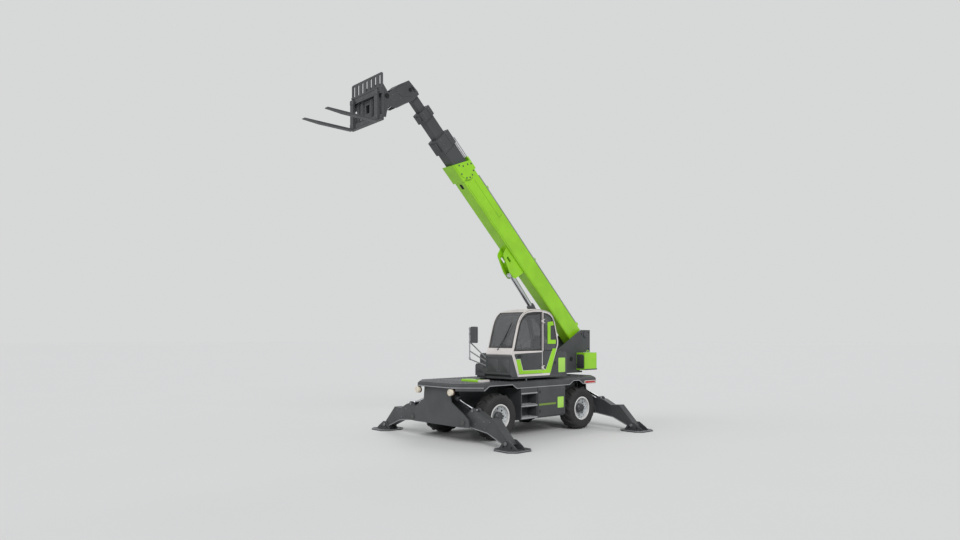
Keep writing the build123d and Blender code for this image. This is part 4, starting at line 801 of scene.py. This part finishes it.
keeper = panel((8.47, -0.15), (8.64, -0.112), 0.015, 0.008, 0.002)
headPins = pinHeads(*headLook["topPin"], flank + 0.008, 0.042) + [onBoomSide(keeper, y)
    for y in (flank, -flank)]
addPiece("headPins", headPins, paintedShadeAndDarkPins, "boom_head")
addPiece("carriagePins", pinHeads(*headLook["lowPin"], 0.1881, 0.052), paintedShadeAndDarkPins, "carriage")
headScrews = bolts(((8.49, -0.131), (8.62, -0.131)), 0.009, 0.009, onBoomSide, flank + 0.008,
    -flank - 0.008)
headScrews += bolts(((8.73, -0.6), (8.78, -0.74), (8.6, -0.62), (8.66, -0.79)), 0.01, 0.01, onBoomSide,
    flank, -flank)
addPiece("headScrews", headScrews, zincPlate, "boom_head")
stiffener = plate([(8.44, -0.3), (8.52, -0.24), (8.74, -0.3), (8.8, -0.46), (8.8, -0.6), (8.62, -0.56)],
    0.006, 0.003)
addPiece("headSidePlates", [onBoomSide(stiffener, y) for y in (flank, -flank)], charcoalEnamel, "boom_head")

face, back = carriageLook["face"], carriageLook["back"]
ribs = [onFront(panel((y - 0.018, 7.47), (y + 0.018, 7.92), 0.006, 0.03, 0.004), back)
    for y in carriageLook["ribs"]]
ribs += [onFront(panel((-0.6, z - 0.015), (0.6, z + 0.015), 0.006, 0.016, 0.003), back) for z in (7.5, 7.9)]
addPiece("carriageRibs", ribs, charcoalEnamel, "carriage")
plateSpots = [(y, z) for y in (-0.57, -0.34, -0.11, 0.11, 0.34, 0.57) for z in (7.985, 7.4)]
addPiece("carriageBolts", bolts(plateSpots, 0.012, 0.01, onFront, face), zincPlate, "carriage")
lockKnob = [(0, 0), (0.016, 0), (0.016, 0.03), (0.026, 0.035), (0.026, 0.055), (0.018, 0.06), (0, 0.06)]
tineHooks = [lathe(lockKnob, (4.722, y, 8.021), (0, 0, 1), 16) for y in carriageLook["tines"]]
tineHooks += [onFront(panel((y - 0.066, z - 0.05), (y + 0.066, z + 0.05), 0.01, 0.004, 0.001),
    carriageLook["hook"]) for y in carriageLook["tines"] for z in (7.42, 7.96)]
addPiece("tineHooks", tineHooks, charcoalEnamel, "carriage")
# near-black plates for two holes and the slit along the top: painted shade
carriageHoles = [onFront(panel((y - 0.035, 7.945), (y + 0.035, 7.975), 0.012, 0.002, 0.0005), face)
    for y in (-0.42, 0.4)]
carriageHoles.append(onFront(panel((-0.605, 8.043), (0.605, 8.052), 0.004, 0.002, 0.0005), face - 0.0008))
addPiece("carriageHoles", carriageHoles, paintedShadeAndDarkPins, "carriage")
coupler = carriageLook["coupler"]
couplerSpots = ((4.34, 7.9), (4.48, 7.8), (4.53, 7.62), (4.42, 7.56))
addPiece("couplerBolts", bolts(couplerSpots, 0.013, 0.012, onSide, coupler, -coupler), zincPlate,
    "carriage")
print("head and carriage made")

# Chassis: side is the face of its boxes and arches, cover the face of the doors that stand on it.
deckLook = dict(top=1.4202, side=1.2203, cover=1.2243, pitch=0.062, slewRing=0.7, noseHighlight=1.318)
deckTop, side, cover = deckLook["top"], deckLook["side"], deckLook["cover"]
arches = [(2.145, 1.254), (2.118, 1.254), (1.962, 1.354), (1.176, 1.354), (1.018, 1.254), (-1.018, 1.254),
    (-1.176, 1.354), (-1.414, 1.354), (-1.588, 1.254), (-1.632, 1.254)]
nose = np.array([(2.152, 1.2203), (2.7003, 0.652), (2.7003, -0.652), (2.152, -1.2203)])
noseSection = np.array([[0, -0.009], [0.004, -0.009], [0.006, -0.006], [0.006, 0.006], [0.004, 0.009],
    [0, 0.009]])
# pale strips along the arches' lips and the nose: a painted highlight on the edges
deckHighlightStrips = [stripeOn(arches, 0.018, 0.006, y) for y in (side, -side)]
deckHighlightStrips += [sweep(np.column_stack([nose * [end, 1], np.full(4, deckLook["noseHighlight"])]),
    noseSection * [-end, 1]) for end in (1, -1)]
addPiece("deckEdgePaintedHighlights", deckHighlightStrips, paleGreyEnamelAndHighlight, "chassis")


def lozenges(centres, length=0.022, width=0.008, height=0.0032):
    # raised diamonds in rows, each turned a quarter from its neighbours; every one is a low cut pyramid
    c = np.asarray(centres, float)
    turn = np.where(np.round(c[:, :2] / deckLook["pitch"]).sum(1) % 2 == 0, 1, -1)
    foot = np.array([[1, 0], [0, 1], [-1, 0], [0, -1]]) * [length, width]
    flat = np.concatenate([foot, foot * 0.7])
    a = turn[:, None] * np.pi / 4
    x = c[:, :1] + flat[None, :, 0] * np.cos(a) - flat[None, :, 1] * np.sin(a)
    y = c[:, 1:2] + flat[None, :, 0] * np.sin(a) + flat[None, :, 1] * np.cos(a)
    z = np.broadcast_to(np.repeat([0, height], 4), x.shape) + c[:, 2:3]
    one = np.array([[0, 1, 5, 4], [1, 2, 6, 5], [2, 3, 7, 6], [3, 0, 4, 7], [4, 5, 6, 7], [3, 2, 1, 0]])
    faces = (one[None] + 8 * np.arange(len(c))[:, None, None]).reshape(-1, 4)
    return np.stack([x, y, z], -1).reshape(-1, 3), faces.tolist()


def lozengeField(low, high, z):
    # centres of the diamonds between two corners, one pitch apart
    p = deckLook["pitch"]
    x, y = np.meshgrid(np.arange(low[0], high[0], p), np.arange(low[1], high[1], p), indexing="ij")
    return np.stack([x.ravel(), y.ravel(), np.full(x.size, z)], -1)


# the deck's tread, left out under the slewing ring and under the cover
walkways = (((-2.0, 0.76), (2.03, 1.14)), ((-2.0, -1.12), (2.03, -0.74)), ((1.95, -0.6), (2.62, 0.62)),
    ((-2.6, -0.6), (-1.95, 0.62)), ((0.85, -0.66), (1.46, 0.68)), ((-1.9, -0.66), (-0.9, 0.68)))
tread = np.concatenate([lozengeField(start, end, deckTop - 0.0003) for start, end in walkways])
tread = tread[np.hypot(tread[:, 0], tread[:, 1]) > deckLook["slewRing"]]
underCover = (tread[:, 0] > 1.53) & (tread[:, 0] < 1.89) & (tread[:, 1] > 0.03) & (tread[:, 1] < 0.83)
addPiece("deckTreadPattern", [lozenges(tread[~underCover])], charcoalEnamel, "chassis", smooth=20)
coverEnd = panel((1.558, 0.69), (1.862, 0.802), 0.004, 0.057, 0.03, 8)
addPiece("deckCoverEnd", [onTop(coverEnd, deckTop + 0.0001)], ivoryEnamel, "chassis")
addPiece("deckCoverScrews", bolts([(x, y) for x in (1.61, 1.81) for y in (0.1, 0.35, 0.6)], 0.012, 0.008,
    onTop, 1.4749), zincPlate, "chassis")

# headlamps with shell, rim and glass; tail lamps are a lens with a rim round it
lampLook = dict(aside=0.64, height=1.209, shell=2.628, glass=2.7275, tail=1.2381)
shellTurn = [(0, -0.012), (0.05, -0.012), (0.0805, 0.004), (0.0815, 0.04), (0.0785, 0.044), (0, 0.044)]
rimTurn = [(0.064, 0), (0.0795, -0.012), (0.081, -0.004), (0.0795, 0.006), (0.072, 0.01), (0.066, 0.006),
    (0.064, 0)]
glassTurn = [(0, 0.0), (0.0655, 0.0), (0.06, 0.005), (0.04, 0.01), (0.02, 0.012), (0, 0.0125)]
for name, profile, x, count, finish in (("headlampShells", shellTurn, lampLook["shell"], 32, umberPlastic),
        ("headlampRims", rimTurn, lampLook["glass"], 32, creamPlastic),
        ("headlampGlasses", glassTurn, lampLook["glass"], 28, lensGlass)):
    addPiece(name, [lathe(profile, (x, way * lampLook["aside"], lampLook["height"]), (1, 0, 0), count)
        for way in (1, -1)], finish, "chassis")
tailLens = [(-1.652, 1.262), (-1.652, 1.318), (-2.055, 1.318), (-2.096, 1.29), (-2.055, 1.262)]
tailFaces = (lampLook["tail"], -lampLook["tail"])
addPiece("tailLampLenses", [onSide(plate(tailLens, 0.012, 0.005), y) for y in tailFaces], redPlastic,
    "chassis")
addPiece("tailLampRims", [sealAround(tailLens, y, -0.007, 0.014, 0.01, 0.003) for y in tailFaces],
    ivoryEnamel, "chassis")

# pale bars over the step openings, and the toothed treads inside them
stepLook = dict(bars=(1.108, 0.79, 0.482), treads=(0.8205, 0.5005))
stepBars = [onSide(panel((0.268, z - 0.017), (0.862, z + 0.017), 0.006, 0.012, 0.004), side)
    for z in stepLook["bars"]]
stepBars += [onTop(panel((0.292, 0.925), (0.838, 1.214), 0.006, 0.006, 0.002), z)
    for z in stepLook["treads"]]
addPiece("stepBars", stepBars, paleGreyEnamelAndHighlight, "chassis")
teeth = [lozengeField((0.32, 0.95), (0.83, 1.2), z + 0.006) for z in stepLook["treads"]]
addPiece("stepTeeth", [lozenges(np.concatenate(teeth))], paleGreyEnamelAndHighlight, "chassis", smooth=20)

# films on the side boxes, and the boxes' doors, latches, filler cap and seams
filmEdge = cover - 0.0002
addPiece("sidePlate_tank", [onSide(panel((-0.764, 0.66), (-0.52, 0.952), 0.02, 0.0012, 0.0004), filmEdge)],
    limeFilm, "chassis")
addPiece("sidePlate_cabinet", [onSide(panel((-0.848, 1.6), (-0.575, 1.985), 0.02, 0.0012, 0.0004), 1.2041)],
    limeFilm, "turret")
addPiece("sideStripe_tank", [onSide(panel((-0.452, 0.765), (0.205, 0.815), 0.006, 0.0012, 0.0004),
    filmEdge)], oliveFilm, "chassis")
boxDoors = ((-0.805, 0.228, side), (-0.805, -0.02, -side), (0.01, 0.845, -side))
addPiece("tankPanels", [onSide(panel((start, 0.525), (end, 1.205), 0.025, 0.004, 0.002), y)
    for start, end, y in boxDoors], charcoalEnamel, "chassis")
latches = [onSide(panel((x - 0.022, z - 0.04), (x + 0.022, z + 0.04), 0.012, 0.012, 0.004), y)
    for x, y in ((0.17, cover), (-0.08, -cover), (0.79, -cover)) for z in (0.62, 1.12)]
fillerCap = [(0, 0), (0.062, 0), (0.062, 0.014), (0.054, 0.024), (0.05, 0.024), (0.046, 0.018), (0, 0.018)]
latches.append(lathe(fillerCap, (-0.42, -cover, 1.02), (0, -1, 0), 28))
addPiece("tankLatches", latches, blackPlastic, "chassis")
# near-black strips at the gaps between the doors: painted shade
addPiece("boxSeams", [onSide(panel((x - 0.012, 0.512), (x + 0.012, 1.225), 0.004, 0.003, 0.001), y)
    for x, y in ((0.247, side), (-0.005, -side), (0.86, -side))], paintedShadeAndDarkPins, "chassis")

# Stabilisers: everything is drawn for the front left corner and mirrored to the others.
legLook = dict(middle=2.385, front=2.4951, rear=2.2749, kneePlate=2.4991, foot=(2.385, 2.42), footHalf=0.37,
    footCut=0.148, footTop=0.0302, pivot=(0.98, 0.5), pivotFace=2.6181)
legLine = [(0.925, 0.424), (1.713, 0.326), (2.263, 0.107), (2.392, 0.094)]
legEdges = [sweep([(x, y, z) for y, z in legLine], softBar(0.014, 0.003, 0.001), up=(way, 0, 0))
    for x, way in ((legLook["front"], 1), (legLook["rear"], -1))]
kneePlate = plate([(1.34, 0.735), (1.62, 0.615), (1.9, 0.628), (1.66, 0.372), (1.26, 0.425), (1.16, 0.6)],
    0.004)
legPins = [lathe(pinHead(0.036, 0.012), (2.503, 1.2, 0.8), (1, 0, 0), 24),
    lathe(pinHead(0.03, 0.004), (2.272, 1.2, 0.8), (-1, 0, 0), 24)]
legPins += bolts(((1.3, 0.5), (1.42, 0.655), (1.62, 0.42), (1.8, 0.585), (1.6, 0.575)), 0.01, 0.009,
    onFront, legLook["kneePlate"])
half, cut = legLook["footHalf"], legLook["footCut"]
octagon = np.array([(-half, -half + cut), (-half + cut, -half), (half - cut, -half), (half, -half + cut),
    (half, half - cut), (half - cut, half), (-half + cut, half), (-half, half - cut)])
footLine = np.column_stack([insetOutline(octagon, 0.008) + legLook["foot"], np.full(8, 0.0297)])
footEdges = [sweep(footLine, softBar(0.014, 0.006, 0.002), closed=True)]
footSides = ((2.5232, 1), (2.2468, -1))
# near-black discs where the holes are: painted shade
footHoles = [lathe(disc(0.024, 0.001), (x, y, 0.085), (way, 0, 0), 20) for x, way in footSides
    for y in (2.26, 2.52)]
footPins = [lathe(pinHead(0.046, 0.012), (x + way * 0.019, 2.35, 0.15), (way, 0, 0), 24)
    for x, way in footSides]
footPins += bolts([(legLook["foot"][0] + x, legLook["foot"][1] + y) for x in (-0.27, 0.27)
    for y in (-0.22, 0.22)], 0.014, 0.012, onTop, legLook["footTop"])
pivotPins = [lathe(pinHead(0.05, 0.01), (legLook["pivotFace"], *legLook["pivot"]), (1, 0, 0), 28)]
pivotPins += bolts(circle(0.058, 4, 0.4, legLook["pivot"]), 0.009, 0.008, onFront, legLook["pivotFace"])
# the oil pipe along the cylinder, as distances from its eye and from its middle line
ramEye, ramEnd = np.array([legLook["middle"], 0.06, 1.225]), np.array([legLook["middle"], 1.2, 0.8])
ramLine = unit(ramEnd - ramEye)
ramAcross = np.array([0, -ramLine[2], ramLine[1]])
ramPipe = pipe([ramEye + ramLine * along + ramAcross * off
    for along, off in ((0.13, 0.05), (0.13, 0.068), (0.15, 0.072), (0.46, 0.074), (0.485, 0.066))], 0.006,
    8)
cornerPieces = (("legEdges_", legEdges, paleGreyEnamelAndHighlight, "leg_"),
    ("legKneePlates_", [onFront(kneePlate, legLook["front"])], charcoalEnamel, "leg_"),
    ("legPins_", legPins, zincPlate, "leg_"), ("footEdges_", footEdges, paleGreyEnamelAndHighlight, "leg_"),
    ("footHoles_", footHoles, paintedShadeAndDarkPins, "leg_"), ("footPins_", footPins, zincPlate, "leg_"),
    ("pivotPins_", pivotPins, oiledSteel, "chassis"), ("ramPipes_", [ramPipe], oiledSteel, "leg_barrel_"))
for corner, end, way in corners:
    for name, shapes, finish, body in cornerPieces:
        addPiece(name + corner, [(np.asarray(p) * [end, way, 1], f) for p, f in shapes], finish, body
            if body == "chassis" else body + corner)

axleBolts = bolts(circle(0.118, 14, middle=(0, wheelLook["height"])), 0.009, 0.01, onFront, (1.7, 1),
    (-1.7, -1))
axleBolts += bolts([(end * wheelLook["ahead"] + x, y) for end in (1, -1) for y in (-0.62, 0.62)
    for x in (-0.045, 0.045)], 0.01, 0.01, onTop, 0.6601)
addPiece("axleBolts", axleBolts, zincPlate, "chassis")
print("chassis made")

# Turret: the faces that its trim stands on, heights upwards and sides to the left.
turretLook = dict(floor=1.5402, hoodTop=2.0801, hoodSide=-1.2003, cabinet=1.2003, frontBox=1.2621,
    weight=0.6203, weightBack=-3.0403, cheek=0.3203, ring=0.6102)
hoodSide, cabinet, frontBox = turretLook["hoodSide"], turretLook["cabinet"], turretLook["frontBox"]
addPiece("hoodLids", [onTop(panel((start, -1.08), (end, -0.47), 0.04, 0.01, 0.004), turretLook["hoodTop"])
    for start, end in ((-1.82, -1.02), (-0.94, -0.1))], charcoalEnamel, "turret")
# near-black slits for the vents: painted shade
hoodVents = [onTop(panel((x, -0.98), (x + 0.026, -0.57), 0.012, 0.0015, 0.0004),
    turretLook["hoodTop"] + 0.01) for x in np.arange(-1.7, -1.1, 0.06)]
addPiece("hoodVents", hoodVents, paintedShadeAndDarkPins, "turret")
catches = [onSide(panel((x - 0.03, 1.93), (x + 0.03, 1.99), 0.012, 0.016, 0.005), hoodSide)
    for x in (-1.86, -1.0, -0.04)]
catches += [pipe([(x - 0.05, -0.462, 2.091), (x + 0.05, -0.462, 2.091)], 0.012)
    for x in (-1.62, -1.22, -0.74, -0.3)]
catches.append(bentPipe([(-0.62, hoodSide, 1.9), (-0.62, -1.235, 1.9), (-0.42, -1.235, 1.9),
    (-0.42, hoodSide, 1.9)], 0.018, 0.008, 8))
addPiece("hoodCatches", catches, blackPlastic, "turret")
exhaustTip = [(0.038, 0.0), (0.05, 0.0), (0.05, 0.012), (0.047, 0.02), (0.047, 0.05), (0.04, 0.05),
    (0.038, 0.0)]
addPiece("exhaustTip", [lathe(exhaustTip, (-1.65, -1.02, 2.175), (0, 0, 1), 28)], oiledSteel, "turret")

cabinetDoor = plate([(-0.895, 1.58), (-0.272, 1.58), (-0.53, 2.11), (-0.845, 2.11), (-0.895, 2.06)], 0.004)
addPiece("cabinetDoor", [onSide(cabinetDoor, cabinet)], charcoalEnamel, "turret")
cabinetLatch = [onSide(panel((-0.46, 1.82), (-0.42, 1.9), 0.012, 0.012, 0.004), cabinet + 0.004)]
cabinetLatch += [pipe([(x - 0.04, 1.15, 2.156), (x + 0.04, 1.15, 2.156)], 0.01) for x in (-0.82, -0.64)]
addPiece("cabinetLatch", cabinetLatch, blackPlastic, "turret")
# near-black slits for the vents: painted shade
addPiece("cabinetVents", [onTop(panel((x, 0.48), (x + 0.02, 1.05), 0.009, 0.0015, 0.0004), 2.1501)
    for x in np.arange(-0.82, -0.56, 0.045)], paintedShadeAndDarkPins, "turret")

boxLids = (((0.36, 1.66), (0.8, 1.98)), ((0.83, 1.66), (1.19, 1.98)), ((-0.03, 1.62), (0.25, 1.8)))
addPiece("frontBoxLids", [onFront(panel(start, end, 0.03, 0.005), frontBox) for start, end in boxLids],
    charcoalEnamel, "turret")
addPiece("frontBoxScrews", bolts([(y, z) for y in (0.39, 0.77, 0.86, 1.16) for z in (1.69, 1.95)], 0.008,
    0.007, onFront, frontBox + 0.005), zincPlate, "turret")

# counterweight: charcoal plates on its front, a skirt, lifting eyes and the bolts at its back
weightFrontOutline = np.array([(0.335, 1.615), (0.585, 1.615), (0.6, 1.66), (0.6, 1.98), (0.56, 2.025), (0.335, 2.025)])
addPiece("weightFronts", [onFront(plate(weightFrontOutline * [way, 1], 0.006, 0.003), -2.3999) for way in (1, -1)],
    charcoalEnamel, "turret")
weight, weightBack = turretLook["weight"], turretLook["weightBack"]
skirt = [onSide(panel((-2.985, 1.572), (-2.405, 1.604), 0.008, 0.005), y) for y in (weight, -weight)]
skirt.append(onFront(panel((-0.48, 1.572), (0.48, 1.604), 0.008, 0.005), weightBack, -1))
addPiece("weightSkirt", skirt, charcoalEnamel, "turret")
a = np.linspace(0.0, np.pi, 13)
addPiece("weightEyes", [sweep(np.stack([-2.72 + 0.055 * np.cos(a), np.full(13, y),
    2.074 + 0.062 * np.sin(a)], -1), ring(0.011, 10), up=(0, 1, 0)) for y in (0.48, -0.48)], limeEnamel,
    "turret")
addPiece("weightBolts", bolts([(y, z) for y in (-0.42, 0.42) for z in (1.7, 1.98)], 0.02, 0.007, onFront,
    (weightBack, -1)), zincPlate, "turret")

# boom cheeks: the lift cylinder's pin, bolts and the flange along the upper edge
cheekFace = turretLook["cheek"]
cheekPins = [lathe(pinHead(0.06, 0.016), (-2.15, way * 0.3281, 1.9), (0, way, 0), 28) for way in (1, -1)]
cheekPins += bolts(((-2.95, 2.66), (-2.95, 2.18), (-2.62, 2.62), (-2.4, 1.72), (-1.2, 1.72), (-0.8, 1.66)),
    0.013, 0.012, onSide, cheekFace, -cheekFace)
addPiece("cheekPins", cheekPins, paintedShadeAndDarkPins, "turret")
rimLine = ((-3.018, 2.736), (-2.602, 2.736), (-1.602, 2.171), (-0.642, 1.761))
addPiece("cheekRims", [sweep([(x, y, z) for x, z in rimLine], softBar(0.052, 0.004, 0.0015),
    up=(0.35, 0, 0.94)) for y in (0.3, -0.3)], charcoalEnamel, "turret")

# valve block with its spools, and a pair of pipes from each spool to the rear
valveLook = dict(spools=7, pitch=0.062, first=-1.44)
spools = valveLook["first"] + valveLook["pitch"] * np.arange(valveLook["spools"])
valve = [onTop(panel((-1.48, -0.16), (-1.02, 0.16), 0.01, 0.11, 0.006), turretLook["floor"])]
valve += [onTop(panel((x, -0.13), (x + 0.045, 0.13), 0.006, 0.045, 0.004), 1.65) for x in spools]
addPiece("valveBlock", valve, castIron, "turret")
valvePipes = []
for k, x in enumerate(spools + 0.022):
    for way in (1, -1):
        out = way * (0.165 + 0.012 * (k % 3))
        valvePipes.append(bentPipe([(x, way * 0.13, 1.672), (x, out, 1.672), (x, out, 1.56),
            (-2.2 + 0.05 * k, out, 1.556)], 0.02, 0.0065, 8, 4))
addPiece("valvePipes", valvePipes, oiledSteel, "turret")
lockPin = [(0, 0), (0.02, 0), (0.022, 0.01), (0.022, 0.045), (0.03, 0.05), (0.03, 0.062), (0, 0.062)]
addPiece("slewLockPin", [lathe(lockPin, (0.6, 1.135, 1.428), (0, 0, 1), 20)], zincPlate, "turret")
ringBolts = [moved(bolt(0.01, 0.01), (turretLook["ring"] * c, turretLook["ring"] * s, 1.462),
    ((-s, c, 0), (0, 0, 1), (c, s, 0))) for c, s in circle(1.0, 40)]
addPiece("ringBolts", ringBolts, zincPlate, "chassis")
print("turret made")


def addFloor():
    # one large flat sheet, half a millimetre under the feet
    x, y = np.meshgrid(np.linspace(-240, 240, 25), np.linspace(-240, 240, 25), indexing="ij")
    z = np.zeros_like(x) - 0.0005
    mesh = bpy.data.meshes.new("studioFloor")
    mesh.from_pydata(np.stack([x, y, z], -1).reshape(-1, 3).tolist(), [],
        gridFaces(25, 25, closeColumns=False))
    mesh.polygons.foreach_set("use_smooth", np.ones(len(mesh.polygons), bool))
    floor = bpy.data.objects.new("studioFloor", mesh)
    bpy.context.scene.collection.objects.link(floor)
    # Matt emulsion on board: even, with a trace of roller texture
    material, tree, surface = startMaterial("mattEmulsionRolled",
        {"Roughness": 0.9, "Specular IOR Level": 0.2})
    place = addNode(tree, "TexCoord").outputs["Object"]
    roll = addNode(tree, "TexNoise", values={"Scale": 0.35, "Detail": 2.0}, links={"Vector": place})
    paint = addNode(tree, "Mix", {"data_type": "RGBA"}, {6: toLinear("#d9d9d8"), 7: toLinear("#d7d7d6")},
        {0: roll})
    tree.links.new(paint.outputs[2], surface.inputs["Base Color"])
    mesh.materials.append(material)


addFloor()
world = bpy.data.worlds.new("studioAir")
bpy.context.scene.world = world
world.use_nodes = True
air = world.node_tree
air.nodes.clear()
# the light comes from a soft cool air, and rays from the camera see a plain backdrop
rays = addNode(air, "LightPath")
seen = addNode(air, "Math", {"operation": "MAXIMUM"},
    links={0: rays.outputs["Is Camera Ray"], 1: rays.outputs["Is Transmission Ray"]})
soft = addNode(air, "Background", values={"Color": toLinear("#f2f4f7"), "Strength": 0.55})
backdrop = addNode(air, "Background", values={"Color": toLinear("#d7d8d8"), "Strength": 1.0})
both = addNode(air, "MixShader", links={0: seen, 1: soft, 2: backdrop})
addNode(air, "OutputWorld", links={"Surface": both})

sunLook = {  # name: the direction it shines from, strength, how wide it looks in degrees
    "keySun": ((0.45, 0.85, 0.6), 1.65, 25),
    "fillSun": ((1.0, -0.45, 0.55), 0.55, 40),
    "rimSun": ((-0.8, -0.55, 0.9), 0.6, 30),
}
for name, (source, power, width) in sunLook.items():
    lamp = bpy.data.lights.new(name, "SUN")
    lamp.energy, lamp.angle = power, math.radians(width)
    sun = bpy.data.objects.new(name, lamp)
    bpy.context.scene.collection.objects.link(sun)
    sun.rotation_mode = "QUATERNION"
    sun.rotation_quaternion = Vector([-v for v in source]).to_track_quat("-Z", "Y")

cameraLook = dict(spot=(13.4, 13.33, 2.583), looks=(-0.679, -0.734, 0.0), lens=25.93, shiftX=-0.0024,
    shiftY=0.068)
lens = bpy.data.cameras.new("studioCamera")
lens.sensor_width, lens.lens = 36.0, cameraLook["lens"]
lens.shift_x, lens.shift_y = cameraLook["shiftX"], cameraLook["shiftY"]
lens.clip_end = 500.0
camera = bpy.data.objects.new("studioCamera", lens)
bpy.context.scene.collection.objects.link(camera)
camera.location = cameraLook["spot"]
camera.rotation_euler = (math.pi / 2, 0, math.atan2(-cameraLook["looks"][0], cameraLook["looks"][1]))
bpy.context.scene.camera = camera
bpy.context.scene.view_settings.view_transform = "Standard"
